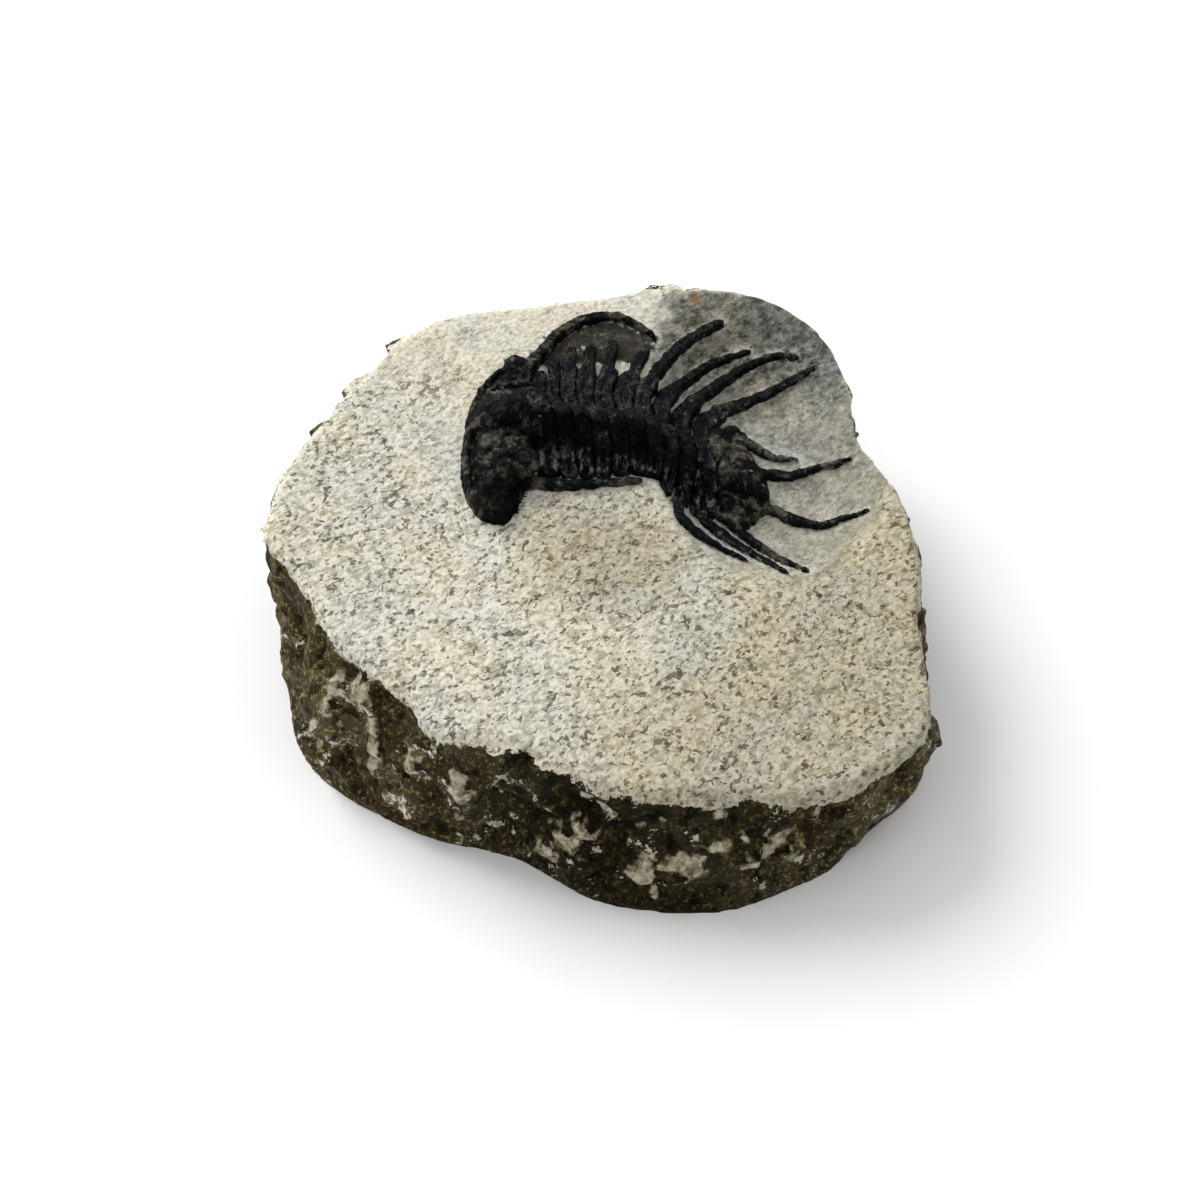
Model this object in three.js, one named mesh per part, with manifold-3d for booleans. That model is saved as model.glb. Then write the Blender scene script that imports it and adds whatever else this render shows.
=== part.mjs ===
// Trilobite fossil lying in relief on its block of limestone.
// Millimetres, +Z up, origin under the middle of the block, on the flat face it stands on.
// The head points along -X and the tail along +X; the far flank is +Y and the near flank is -Y.
import * as THREE from "three";
import { mergeVertices } from "three/addons/utils/BufferGeometryUtils.js";
import Module from "manifold-3d";

const wasm = await Module();
wasm.setup();

// The block. Stations round its upper edge in plan: x, y, and how far the foot of the wall
// stands out below them, or is undercut where the number is negative.
const BLOCK_EDGE = [
  [-53.5, -2.5, -2.0],
  [-46.8, -12.0, 4.4],
  [-43.0, -18.6, 6.8],
  [-39.2, -24.6, 7.0],
  [-29.4, -32.2, 6.0],
  [-23.2, -39.6, 1.6],
  [-11.3, -39.9, 4.2],
  [-1.0, -46.1, 5.2],
  [7.8, -47.4, 6.2],
  [16.0, -47.4, 6.8],
  [22.0, -47.2, 5.4],
  [29.0, -48.0, 1.6],
  [36.5, -46.4, -0.4],
  [44.0, -41.6, -3.0],
  [50.6, -36.0, -3.0],
  [52.5, -27.0, 0.5],
  [51.4, -14.2, 1.0],
  [52.6, -3.1, 0],
  [50.6, 10.7, -1.0],
  [44.8, 23.4, -1.0],
  [44.0, 32.8, -1.0],
  [41.0, 42.0, -2.0],
  [36.0, 48.4, -3.0],
  [28.8, 52.8, -3.0],
  [17.9, 54.0, -3.0],
  [7.0, 52.2, -3.0],
  [-9.8, 48.0, -2.0],
  [-23.8, 45.0, -2.0],
  [-33.8, 38.8, -2.0],
  [-44.6, 22.0, -2.0],
  [-49.0, 15.6, -2.0],
];
const BLOCK_CENTRE = [8, 12]; // where the rings of the upper face close in
const BLOCK_HEIGHT = 27.6; // upper face over the origin
const BLOCK_RISE = 0.12; // its slope towards +Y
const BLOCK_FALL = 0.06; // its slope down towards +X
const BLOCK_SECTORS = BLOCK_EDGE.length * 2;
const WALL_ROWS = [0, 0.14, 0.38, 0.62, 0.84, 1];
const WALL_LUMP = 1.0; // how far the broken walls swell and dip
const WALL_LUMPS = 9; // swells round the block
const WALL_TWIST = 0.8; // how far they lean over from foot to edge
const TOP_ROWS = [0.965, 0.91, 0.85, 0.78, 0.71, 0.64, 0.57, 0.5, 0.43, 0.36, 0.29, 0.22, 0.15, 0.08, 0];
const TOP_SWELL = 0.3; // long swells of the worked upper face
const SWELL_LENGTH = [9, 11]; // along X and along Y
const EDGE_DROP = 1.8; // rounding of the upper edge

// The hollow worked into the stone round the tail, gentle on its far side and steep on its near one.
const HOLLOW = { x: 29, y: 20.8, halfX: 19.5, halfY: 26.5, depth: 5, nearPower: 5, farPower: 2 };

// The clearance between neighbouring pieces.
const GAP = 0.3;

// The body. Crest line from the front of the head to the tip of the tail: x, y and height.
const BODY_CREST = [
  [-21.0, 19.6, 32.4],
  [-14.0, 19.3, 38.0],
  [-8.0, 18.5, 37.0],
  [0.5, 18.1, 36.2],
  [8.6, 17.1, 35.0],
  [15.5, 15.1, 32.4],
  [20.8, 13.5, 29.4],
  [25.0, 11.9, 26.6],
  [29.3, 10.7, 24.0],
];
const THORAX_START = 13.1; // along the crest line
const SEGMENT_PITCH = 3.0;
const AXIS_HALF_WIDTH = 4.4; // the raised middle lobe of each ring
const AXIS_SHARE = 0.8; // how much of the fall from crest to stone the lobe takes
const AXIS_PROFILE = [[0.6, 0.22], [0.9, 0.58], [1.1, 1]]; // shares of its half width and of its fall
const SEGMENT_GROOVE = 0.9; // depth of the joint between two rings
const EDGE_RELIEF = 1.7; // height of the pleural ends over the stone
const SPINE_TIP_RELIEF = 1.1;
const SPINE_HALF_WIDTH = 1.05;
const SPINE_TIP_HALF_WIDTH = { far: 0.8, near: 0.45 };
const SPINE_STEP = 3.2; // longest piece of a spine between two sections
const SPINE_SHOULDER = 0.7; // how soon the broad end of a ring narrows to its spine
const STUB_LENGTH = 0.5; // the blunt end of a ring without a free spine
const STUB_HALF_WIDTH = 0.75;
const ROOT = 1.8; // how deep the pieces reach before the stone is cut from them
const ROOM = 0.15; // the least that is kept free round a ring where its neighbour bends over it

// Each ring: plan points of its rib out from the crest on the far and on the near flank.
// The second point is the edge of the body, and what goes on past it is the free spine.
const EDGE_POINT = 2;
// How far the first and the last ring reach past their own ribs, in ring widths.
const FRONT_REACH = { far: 0.5, near: 0.9 };
const REAR_REACH = 0.6;
const SEGMENTS = [
  { far: [[-9.8, 27.0], [-9.6, 30.0], [-9.2, 31.6]], near: [[-7.4, 12.6], [-7.2, 10.3]] },
  { far: [[-7.2, 26.8], [-7.2, 31.4], [-7.1, 34.4]], near: [[-4.6, 12.6], [-4.5, 10.1]] },
  { far: [[-5.0, 26.2], [-4.7, 32.0], [-4.2, 37.2]], near: [[-1.8, 12.6], [-1.7, 10.2]] },
  { far: [[-2.1, 26.0], [-1.5, 32.2], [-0.8, 38.0]], near: [[1.1, 12.8], [1.1, 10.7]] },
  { far: [[0.9, 25.8], [1.8, 32.2], [2.8, 39.5]], near: [[4.0, 13.0], [3.9, 11.2]] },
  { far: [[4.5, 25.6], [6.0, 31.8], [8.5, 38.2]], near: [[6.9, 13.2], [6.7, 11.5]] },
  { far: [[7.6, 25.0], [9.0, 30.4], [12.0, 36.1], [17.0, 41.8], [21.9, 45.1]],
    near: [[9.5, 13.2], [9.3, 11.2]] },
  { far: [[10.6, 24.0], [11.9, 28.8], [15.4, 33.3], [20.2, 37.7], [26.4, 40.6]],
    near: [[12.1, 12.6], [11.4, 7.8]] },
  { far: [[13.8, 24.0], [16.1, 29.2], [20.5, 33.5], [26.3, 38.0], [30.6, 39.7], [34.8, 39.4]],
    near: [[14.4, 12.4], [13.1, 7.2], [13.8, 2.9], [17.6, -0.8], [24.1, -3.7]] },
  { far: [[17.2, 23.4], [20.2, 28.2], [24.5, 30.3], [31.2, 34.1], [37.9, 38.0]],
    near: [[17.6, 11.6], [16.9, 6.4], [18.8, 3.4], [25.0, -0.9], [30.4, -6.1]] },
];

// The head shield, an oval cap with a swollen middle, two eyes and a spine at each rear corner.
// A shield's taper is 1 where its rear is oval, and more where that runs straighter from corner to corner.
const HEAD = {
  x: -13.0, y: 16.2, front: 8.8, rear: 3.4, near: 15.8, far: 16.0, rim: 2.4, rise: 4.6, lean: -0.15, taper: 1,
};
const GLABELLA = { x: -13.6, y: 19.4, z: 33.2, length: 6.6, width: 5.2, height: 5.0 };
const NEAR_EYE = { x: -10.8, y: 10.1, z: 33.0, length: 1.9, width: 2.3, height: 2.6 };
const FAR_EYE = { x: -13.2, y: 30.0, z: 33.6, length: 2.8, width: 2.6, height: 3.2 };
const NEAR_LOBE = { x: -16.2, y: 4.6, z: 30.2, length: 3.8, width: 4.4, height: 3.2 };
const FAR_GENAL_SPINE = [[-12.0, 31.0], [-6.6, 39.6], [-1.4, 43.7], [3.4, 44.4], [7.4, 42.7], [10.2, 40.4]];
const NEAR_GENAL_SPINE = [
  [-12.6, 8.6], [-10.1, 8.4], [-6.3, 8.2], [-2.2, 8.5], [2.2, 9.2], [5.2, 9.7], [7.6, 10.0],
];
const GENAL_RELIEF = 2.2;
const GENAL_HALF_WIDTH = 1.0;
const GENAL_TIP_HALF_WIDTH = 0.5;

// The tail shield and its two pairs of ribs, each from the axis over the edge of the shield to a long spine.
const TAIL = {
  x: 22.6, y: 13.2, front: 5.5, rear: 6.0, near: 8.8, far: 11.6, rim: 1.5, rise: 3.4, lean: 0.08, taper: 1.5,
};
const TAIL_AXIS = { x: 23.0, y: 12.6, z: 25.8, length: 4.6, width: 2.9, height: 3.2 };
const TAIL_RIB_HALF_WIDTH = 1.2;
const TAIL_TIP_HALF_WIDTH = 0.6;
const TAIL_RIBS = [
  [[20.8, 15.4], [20.9, 21.6], [22.6, 24.9], [26.1, 22.5], [29.6, 20.4], [34.0, 20.3]],
  [[23.0, 13.6], [25.4, 16.4], [28.0, 16.6], [32.3, 16.7], [36.0, 18.1], [42.7, 19.9]],
  [[24.0, 12.0], [26.0, 10.0], [29.1, 9.2], [31.9, 7.9], [36.0, 6.4], [39.4, 7.1], [44.6, 7.8]],
  [[21.8, 11.6], [20.6, 8.4], [22.4, 5.0], [25.9, 1.8], [28.5, -0.7], [33.7, -5.5]],
];

// Move every vertex of a geometry to the place worked out for it.
function warp(geometry, place) {
  const position = geometry.attributes.position;
  const vertex = new THREE.Vector3();
  for (let i = 0; i < position.count; i += 1) {
    vertex.fromBufferAttribute(position, i);
    const moved = place(vertex, i);
    position.setXYZ(i, moved.x, moved.y, moved.z);
  }
  return geometry;
}

// A closed geometry as a solid.
function solidOf(geometry) {
  geometry.deleteAttribute("normal");
  geometry.deleteAttribute("uv");
  const welded = mergeVertices(geometry, 1e-4);
  return new wasm.Manifold(new wasm.Mesh({
    numProp: 3,
    vertProperties: welded.attributes.position.array,
    triVerts: new Uint32Array(welded.index.array),
  }));
}

// A solid as a geometry again.
function geometryOf(solid) {
  const mesh = solid.getMesh();
  const geometry = new THREE.BufferGeometry();
  geometry.setAttribute("position", new THREE.Float32BufferAttribute(mesh.vertProperties, 3));
  geometry.setIndex(new THREE.BufferAttribute(mesh.triVerts, 1));
  geometry.computeVertexNormals();
  return geometry;
}

// Upper face of the stone before it is broken into facets.
function faceHeight(x, y) {
  let height = BLOCK_HEIGHT + BLOCK_RISE * y - BLOCK_FALL * x;
  height += TOP_SWELL * Math.sin(x / SWELL_LENGTH[0] + 1) * Math.cos(y / SWELL_LENGTH[1]);
  const across = (x - HOLLOW.x) / HOLLOW.halfX;
  const along = (y - HOLLOW.y) / HOLLOW.halfY;
  const reach = Math.hypot(across, along);
  if (reach > 0 && reach < 1) {
    const power = THREE.MathUtils.mapLinear(along / reach, -1, 1, HOLLOW.nearPower, HOLLOW.farPower);
    height -= HOLLOW.depth * (1 - reach ** power);
  } else if (reach === 0) {
    height -= HOLLOW.depth;
  }
  return height;
}

// The block: a lathed lattice of sectors and rows, each row laid along the outline of the stone.
const blockEdge = new THREE.CatmullRomCurve3(
  BLOCK_EDGE.map(([x, y, foot]) => new THREE.Vector3(x, y, foot)),
  true,
);

function wallPoint(turn, rise) {
  const edge = blockEdge.getPoint(turn);
  const outward = new THREE.Vector2(edge.x, edge.y).normalize();
  const swell = Math.sin(Math.PI * rise) * Math.sin(2 * Math.PI * (WALL_LUMPS * turn + WALL_TWIST * rise));
  const offset = edge.z * (1 - rise) + WALL_LUMP * swell;
  const top = faceHeight(edge.x, edge.y) - EDGE_DROP;
  return new THREE.Vector3(edge.x + outward.x * offset, edge.y + outward.y * offset, top * rise);
}

function topPoint(turn, reach, lift) {
  const edge = blockEdge.getPoint(turn);
  const x = THREE.MathUtils.lerp(BLOCK_CENTRE[0], edge.x, reach);
  const y = THREE.MathUtils.lerp(BLOCK_CENTRE[1], edge.y, reach);
  return new THREE.Vector3(x, y, faceHeight(x, y) + lift);
}

function blockGeometry(lift) {
  const rows = 1 + WALL_ROWS.length + TOP_ROWS.length;
  const profile = Array.from({ length: rows }, (_, row) => {
    return new THREE.Vector2(row === rows - 1 ? 0 : row, row);
  });
  const lattice = new THREE.LatheGeometry(profile, BLOCK_SECTORS);
  return warp(lattice, (vertex, index) => {
    const turn = (Math.floor(index / rows) % BLOCK_SECTORS) / BLOCK_SECTORS;
    const row = index % rows;
    if (row === 0) {
      return new THREE.Vector3(BLOCK_CENTRE[0], BLOCK_CENTRE[1], 0);
    }
    if (row <= WALL_ROWS.length) {
      return wallPoint(turn, WALL_ROWS[row - 1]);
    }
    return topPoint(turn, TOP_ROWS[row - 1 - WALL_ROWS.length], lift);
  });
}

const blockSolid = solidOf(blockGeometry(0));
const raisedBlock = solidOf(blockGeometry(GAP));

// Height of the faceted stone, found by a ray straight down on it.
const stoneProbe = new THREE.Mesh(geometryOf(blockSolid));
const probe = new THREE.Raycaster();
const DOWN = new THREE.Vector3(0, 0, -1);

function stoneHeight(x, y) {
  probe.set(new THREE.Vector3(x, y, 2 * BLOCK_HEIGHT), DOWN);
  return probe.intersectObject(stoneProbe)[0].point.z;
}

// The crest line of the body.
const crestLine = new THREE.CatmullRomCurve3(BODY_CREST.map((point) => new THREE.Vector3(...point)));
const CREST_LENGTH = crestLine.getLength();

function crestPoint(distance) {
  return crestLine.getPointAt(distance / CREST_LENGTH);
}

// A plan curve through points, with its length and the share of it that lies inside the edge of the body.
const CURVE_STEPS = 240;

function planCurve(points) {
  const curve = new THREE.SplineCurve(points.map(([x, y]) => new THREE.Vector2(x, y)));
  curve.arcLengthDivisions = CURVE_STEPS;
  const lengths = curve.getLengths();
  const length = lengths[CURVE_STEPS];
  const edgeStep = Math.round(CURVE_STEPS * EDGE_POINT / (points.length - 1));
  return { curve, length, edge: lengths[Math.min(edgeStep, CURVE_STEPS)] / length };
}

// The two ribs of each ring, from its crest out to its tips.
const ribs = SEGMENTS.map(({ far, near }, order) => {
  const { x, y } = crestPoint(THORAX_START + (order + 0.5) * SEGMENT_PITCH);
  return { far: planCurve([[x, y], ...far]), near: planCurve([[x, y], ...near]) };
});

function ribPoint(order, side, share) {
  const { curve, edge } = ribs[order][side];
  return curve.getPointAt(share * edge);
}

// A point of the joint in front of a ring, midway between its rib and the one before.
function jointPoint(order, side, share) {
  if (order === 0) {
    return ribPoint(0, side, share).lerp(ribPoint(1, side, share), -FRONT_REACH[side]);
  }
  if (order === SEGMENTS.length) {
    return ribPoint(order - 1, side, share).lerp(ribPoint(order - 2, side, share), -REAR_REACH);
  }
  return ribPoint(order - 1, side, share).lerp(ribPoint(order, side, share), 0.5);
}

// A strip swept through stations. Each station has a place, a direction across, a half width
// and three levels: its buried root, its shoulders and its crest.
const STRIP_SECTION = [
  [-1, "root"],
  [-1, "shoulder"],
  [-0.5, "crest"],
  [0.5, "crest"],
  [1, "shoulder"],
  [1, "root"],
];

function strip(stations) {
  const sides = STRIP_SECTION.length;
  const bar = new THREE.CylinderGeometry(1, 1, 1, sides, stations.length - 1);
  return solidOf(warp(bar, (vertex) => {
    const station = stations[Math.round((0.5 - vertex.y) * (stations.length - 1))];
    if (Math.hypot(vertex.x, vertex.z) < 0.5) {
      return new THREE.Vector3(station.x, station.y, station.shoulder);
    }
    const turn = Math.atan2(vertex.x, vertex.z) / (2 * Math.PI);
    const [share, level] = STRIP_SECTION[Math.round((turn + 1) * sides) % sides];
    const offset = share * station.half;
    return new THREE.Vector3(
      station.x + station.across.x * offset,
      station.y + station.across.y * offset,
      station[level],
    );
  }));
}

// Stations of a spine lying on the stone along part of a plan curve, tapering from its base.
function spineStations({ curve, length }, from, to, base, tip) {
  const steps = Math.max(1, Math.ceil((to - from) * length / SPINE_STEP));
  return Array.from({ length: steps + 1 }, (_, step) => {
    const share = THREE.MathUtils.lerp(from, to, step / steps);
    const point = curve.getPointAt(share);
    const tangent = curve.getTangentAt(share);
    const ground = stoneHeight(point.x, point.y);
    const relief = THREE.MathUtils.lerp(base.relief, tip.relief, step / steps);
    return {
      x: point.x,
      y: point.y,
      across: new THREE.Vector2(-tangent.y, tangent.x),
      half: THREE.MathUtils.lerp(base.half, tip.half, step / steps),
      root: ground - ROOT,
      shoulder: ground + 0.5 * relief,
      crest: ground + relief,
    };
  });
}

// One ring of the thorax, from the far tip over the middle lobe to the near tip.
// Grown by a margin, it is the room that its neighbours leave free for it.
function ringSolid(order, margin = 0) {
  const crestHeight = crestPoint(THORAX_START + (order + 0.5) * SEGMENT_PITCH).z;

  function bodyStation(side, share, fall) {
    const front = jointPoint(order, side, share);
    const back = jointPoint(order + 1, side, share);
    const { x, y } = front.clone().lerp(back, 0.5);
    const ground = stoneHeight(x, y);
    const crest = THREE.MathUtils.lerp(crestHeight, ground + EDGE_RELIEF, fall);
    return {
      x,
      y,
      across: back.clone().sub(front).normalize(),
      half: 0.5 * (front.distanceTo(back) - GAP) + margin,
      root: ground - ROOT,
      shoulder: Math.max(crest - SEGMENT_GROOVE, ground + 0.5 * EDGE_RELIEF) + margin,
      crest: crest + margin,
    };
  }

  function sideStations(side) {
    const rib = ribs[order][side];
    const width = rib.edge * rib.length;
    const body = AXIS_PROFILE.map(([out, fall]) => {
      return bodyStation(side, out * AXIS_HALF_WIDTH / width, fall * AXIS_SHARE);
    });
    body.push(bodyStation(side, 1, 1));
    const base = { relief: EDGE_RELIEF + margin, half: SPINE_HALF_WIDTH + margin };
    const tip = { relief: SPINE_TIP_RELIEF + margin, half: SPINE_TIP_HALF_WIDTH[side] + margin };
    const spineStart = rib.edge + SPINE_SHOULDER / rib.length;
    if (spineStart < 1) {
      return [...body, ...spineStations(rib, spineStart, 1, base, tip)];
    }
    const [end] = spineStations(rib, 1, 1, { ...base, half: STUB_HALF_WIDTH + margin }, tip);
    end.x += STUB_LENGTH * end.across.y;
    end.y -= STUB_LENGTH * end.across.x;
    return [...body, end];
  }

  const nearSide = sideStations("near");
  const farSide = sideStations("far");
  farSide.slice(AXIS_PROFILE.length + 1).forEach((station) => station.across.negate());
  return strip([...farSide.reverse(), bodyStation("near", 0, 0), ...nearSide]);
}

// A spine of its own along a whole plan curve.
function spineSolid(path, base, tip) {
  return strip(spineStations(path, 0, 1, base, tip));
}

// A rounded body such as an eye, set at a place.
function knob(form) {
  const ball = new THREE.SphereGeometry(1, 12, 8);
  ball.rotateX(Math.PI / 2);
  ball.scale(form.length, form.width, form.height);
  ball.translate(form.x, form.y, form.z);
  return solidOf(ball);
}

// A shield: a cap over the stone with a raised rim, its near half leaning to the front or to the rear.
function shield(form) {
  const cap = new THREE.SphereGeometry(1, 26, 10);
  cap.rotateX(Math.PI / 2);
  return solidOf(warp(cap, (vertex) => {
    const reach = Math.min(1, Math.hypot(vertex.x, vertex.y));
    const taper = vertex.x < 0 ? 1 : form.taper;
    const forward = reach > 0 ? reach * Math.abs(vertex.x / reach) ** taper : 0;
    const aside = reach > 0 ? reach * Math.abs(vertex.y / reach) ** taper : 0;
    const sideways = vertex.y < 0 ? -aside * form.near : aside * form.far;
    const lean = vertex.y < 0 ? form.lean * aside * form.near : 0;
    const x = form.x + (vertex.x < 0 ? -forward * form.front : forward * form.rear) + lean;
    const y = form.y + sideways;
    const ground = stoneHeight(x, y);
    if (vertex.z < -1e-6) {
      return new THREE.Vector3(x, y, ground - ROOT);
    }
    const height = form.rim * Math.sqrt(1 - reach ** 8) + (form.rise - form.rim) * (1 - reach ** 2);
    return new THREE.Vector3(x, y, ground + Math.max(0, height));
  }));
}

function headSolid() {
  const base = { relief: GENAL_RELIEF, half: GENAL_HALF_WIDTH };
  const tip = { relief: SPINE_TIP_RELIEF, half: GENAL_TIP_HALF_WIDTH };
  return shield(HEAD)
    .add(knob(GLABELLA))
    .add(knob(NEAR_EYE))
    .add(knob(FAR_EYE))
    .add(knob(NEAR_LOBE))
    .add(spineSolid(planCurve(FAR_GENAL_SPINE), base, tip))
    .add(spineSolid(planCurve(NEAR_GENAL_SPINE), base, tip));
}

function tailSolid() {
  const root = { relief: TAIL.rise, half: TAIL_RIB_HALF_WIDTH };
  const base = { relief: EDGE_RELIEF, half: SPINE_HALF_WIDTH };
  const tip = { relief: SPINE_TIP_RELIEF, half: TAIL_TIP_HALF_WIDTH };
  let tail = shield(TAIL).add(knob(TAIL_AXIS));
  for (const points of TAIL_RIBS) {
    const path = planCurve(points);
    const inside = spineStations(path, 0, path.edge, root, base);
    const free = spineStations(path, path.edge, 1, base, tip);
    tail = tail.add(strip([...inside, ...free.slice(1)]));
  }
  return tail;
}

// The finished pieces.
const fossil = new THREE.Group();
fossil.name = "trilobite_fossil";

function piece(name, solid, color, roughness) {
  const material = new THREE.MeshStandardMaterial({ color, roughness, metalness: 0, flatShading: true });
  const mesh = new THREE.Mesh(geometryOf(solid), material);
  mesh.name = name;
  fossil.add(mesh);
}

piece("matrix", blockSolid, 0xbfb9a3, 0.95);
let headCut = headSolid().subtract(raisedBlock);
SEGMENTS.forEach((_, order) => {
  headCut = headCut.subtract(ringSolid(order, GAP));
});
piece("cephalon", headCut, 0x232420, 0.5);
SEGMENTS.forEach((_, order) => {
  const number = String(order + 1).padStart(2, "0");
  let ring = ringSolid(order).subtract(raisedBlock);
  for (let before = 0; before < order; before += 1) {
    ring = ring.subtract(ringSolid(before, ROOM));
  }
  piece(`thorax_segment_${number}`, ring, 0x171916, 0.45);
});
let tailCut = tailSolid().subtract(raisedBlock);
SEGMENTS.forEach((_, order) => {
  tailCut = tailCut.subtract(ringSolid(order, GAP));
});
piece("pygidium", tailCut, 0x1c1d1a, 0.5);

export default fossil;
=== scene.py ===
import bisect
import math
import random

import bmesh
import bpy
from mathutils import Matrix, Vector, noise
from mathutils.bvhtree import BVHTree
from mathutils.geometry import interpolate_bezier


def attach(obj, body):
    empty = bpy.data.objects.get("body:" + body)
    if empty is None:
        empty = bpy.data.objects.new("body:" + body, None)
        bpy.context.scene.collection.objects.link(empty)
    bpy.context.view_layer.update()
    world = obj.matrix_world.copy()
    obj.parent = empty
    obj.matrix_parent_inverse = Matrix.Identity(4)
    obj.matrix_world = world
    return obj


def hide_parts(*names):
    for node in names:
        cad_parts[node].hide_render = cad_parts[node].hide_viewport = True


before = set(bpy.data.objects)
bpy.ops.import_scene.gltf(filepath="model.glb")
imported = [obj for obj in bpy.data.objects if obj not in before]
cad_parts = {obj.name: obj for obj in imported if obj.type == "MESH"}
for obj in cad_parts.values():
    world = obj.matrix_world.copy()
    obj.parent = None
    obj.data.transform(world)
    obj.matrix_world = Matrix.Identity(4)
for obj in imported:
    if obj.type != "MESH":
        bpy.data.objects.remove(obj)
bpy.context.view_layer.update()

# The block: one lump of pale limestone in a dark weathered skin, broken out by hand.
# Its upper face is blasted down to a fine even grain, and a hollow is worked out of it round the tail.
# Meshes are shaped in millimetres and brought to metres when they are placed.
MM = 0.001
STONE_VOXEL = 0.57
STONE_SMOOTHING = 5
PLATE_HEIGHT = 27.6
WORKED = {
    "x": 29.0, "y": 18.5, "half_x": 20.5,
    "far": {"half_y": 36.5, "power": 5.0}, "near": {"half_y": 28.5, "power": 2.0},
}
# The worked hollow is greyer stone, darkened further as painted shade over its floor and most at its back
# wall: base, floor and back shares.
WORKED_SHADE = (0.44, 0.2, 0.4)
WORKED_FLOOR_SHADE = (0.0, 30.0)
WORKED_BACK_SHADE = (28.0, 41.0)
WORKED_LIP = {"depth": 0.35, "from": (0.95, 0.98)}
WORKED_FADE = (0.84, 1.02)
WORKED_WANDER = 0.1
RIM_PALENESS = 3.0
WALL_NORMAL = (0.45, 0.75)
WALL_SPREAD = 8
WALL_EDGE = 0.5
WALL_SMOOTHING = 2
LARGE_BREAK = {"size": 9.0, "tilt": 2.2, "step": 1.2}
SMALL_BREAK = {"size": 3.2, "tilt": 0.9, "step": 0.5}
GRAIN_SIZE = 1.3
GRAIN_HEIGHT = 0.07
CALCITE_RISE = 0.6
CALCITE_EDGE = (0.45, 0.75)
FOOT_HEIGHT = 0.5
FOOT_FADE = 4.0
RIND_WANDER = 0.8
RIND_WANDER_SIZE = 4.0
RIND_WANDER_GROWTH = 4.0
RIND_RETREAT = 0.3
RIND_RETREAT_FADE = 8.0
PREPARED_REACH = 4.0
FINER_REACH = 14.0
FINER_FROM = (4.0, 14.0)
FINER_BACK = (22.0, 38.0)
# Painted shade: the face grows warmer and darker towards the front right, away from the light; WARM_CLOUD
# adds a darker, warmer patch at the front.
WARM_SHADE_TOWARDS = (0.8, -0.6)
WARM_SHADE_FROM = (6.0, 40.0)
WARM_CLOUD = {"at": (2.5, -4.5), "half": (21.0, 16.5), "fades": (0.25, 1.0)}

# Colours of the stone, as the eye sees them from 0 to 255, and tones that darken them, as shares of light.
COOL_CREAM = (217, 215, 204)
WARM_CREAM = (223, 217, 197)
FLECK_COLOURS = ((72, 70, 64), (92, 77, 48))
HAIRLINE = (76, 68, 54)
SCRATCH = (214, 212, 202)
# Browns of the painted shadow and stain under the far cheek spine.
SHADOW_STAIN_COLOURS = ((10, 9, 7), (62, 57, 46))
CRUST = (216, 211, 193)
RUST_COLOUR = (140, 94, 48)
RIND_COLOURS = ((34, 29, 16), (54, 50, 38))
RIND_FLECK = (120, 108, 74)
RIND_PIT = (12, 8, 2)
RIND_FOOT = (104, 102, 88)
# Cream of the calcite, from its painted shade to its lit middle.
CALCITE_SHADE_COLOURS = ((96, 86, 60), (212, 204, 178))
MOTTLE_TONES = ((0.62, 0.61, 0.54, 1), (1, 1, 1, 1))
# Tone of the warm painted shade on the face.
WARM_SHADE_TONE = (0.72, 0.69, 0.61, 1)
# Greys of the worked hollow, dark enough to carry its painted shade.
WORKED_GREY_AND_SHADE_TONES = ((0.1, 0.1, 0.1, 1), (0.3, 0.31, 0.31, 1))
# Painted shade across the front middle of the broken walls and painted light towards their ends.
RIND_PAINTED_LIGHT_TONES = ((0.62, 0.56, 0.38, 1), (2.3, 2.2, 1.8, 1))
STONE_GLOSS = 0.06
FLECK_LEAN = 38.0

# Painted shadow, partly stain, on the stone under the far cheek spine: the plan middle of each patch and its
# half width.
SHADOW_STAIN_PATCHES = [
    ((-8.2, 35.4), 2.8),
    ((-6.2, 37.6), 3.0),
    ((-4.0, 39.6), 3.0),
    ((-1.2, 40.8), 3.2),
    ((2.0, 41.2), 3.4),
    ((5.0, 40.6), 3.4),
    ((7.6, 39.8), 2.6),
    ((-4.6, 37.0), 2.0),
    ((-1.0, 38.8), 2.2),
    ((5.6, 38.4), 2.8),
    ((-5.9, 34.8), 1.8),
    ((-3.0, 35.8), 1.9),
    ((0.3, 36.8), 2.1),
    ((4.6, 37.0), 2.4),
]

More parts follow.
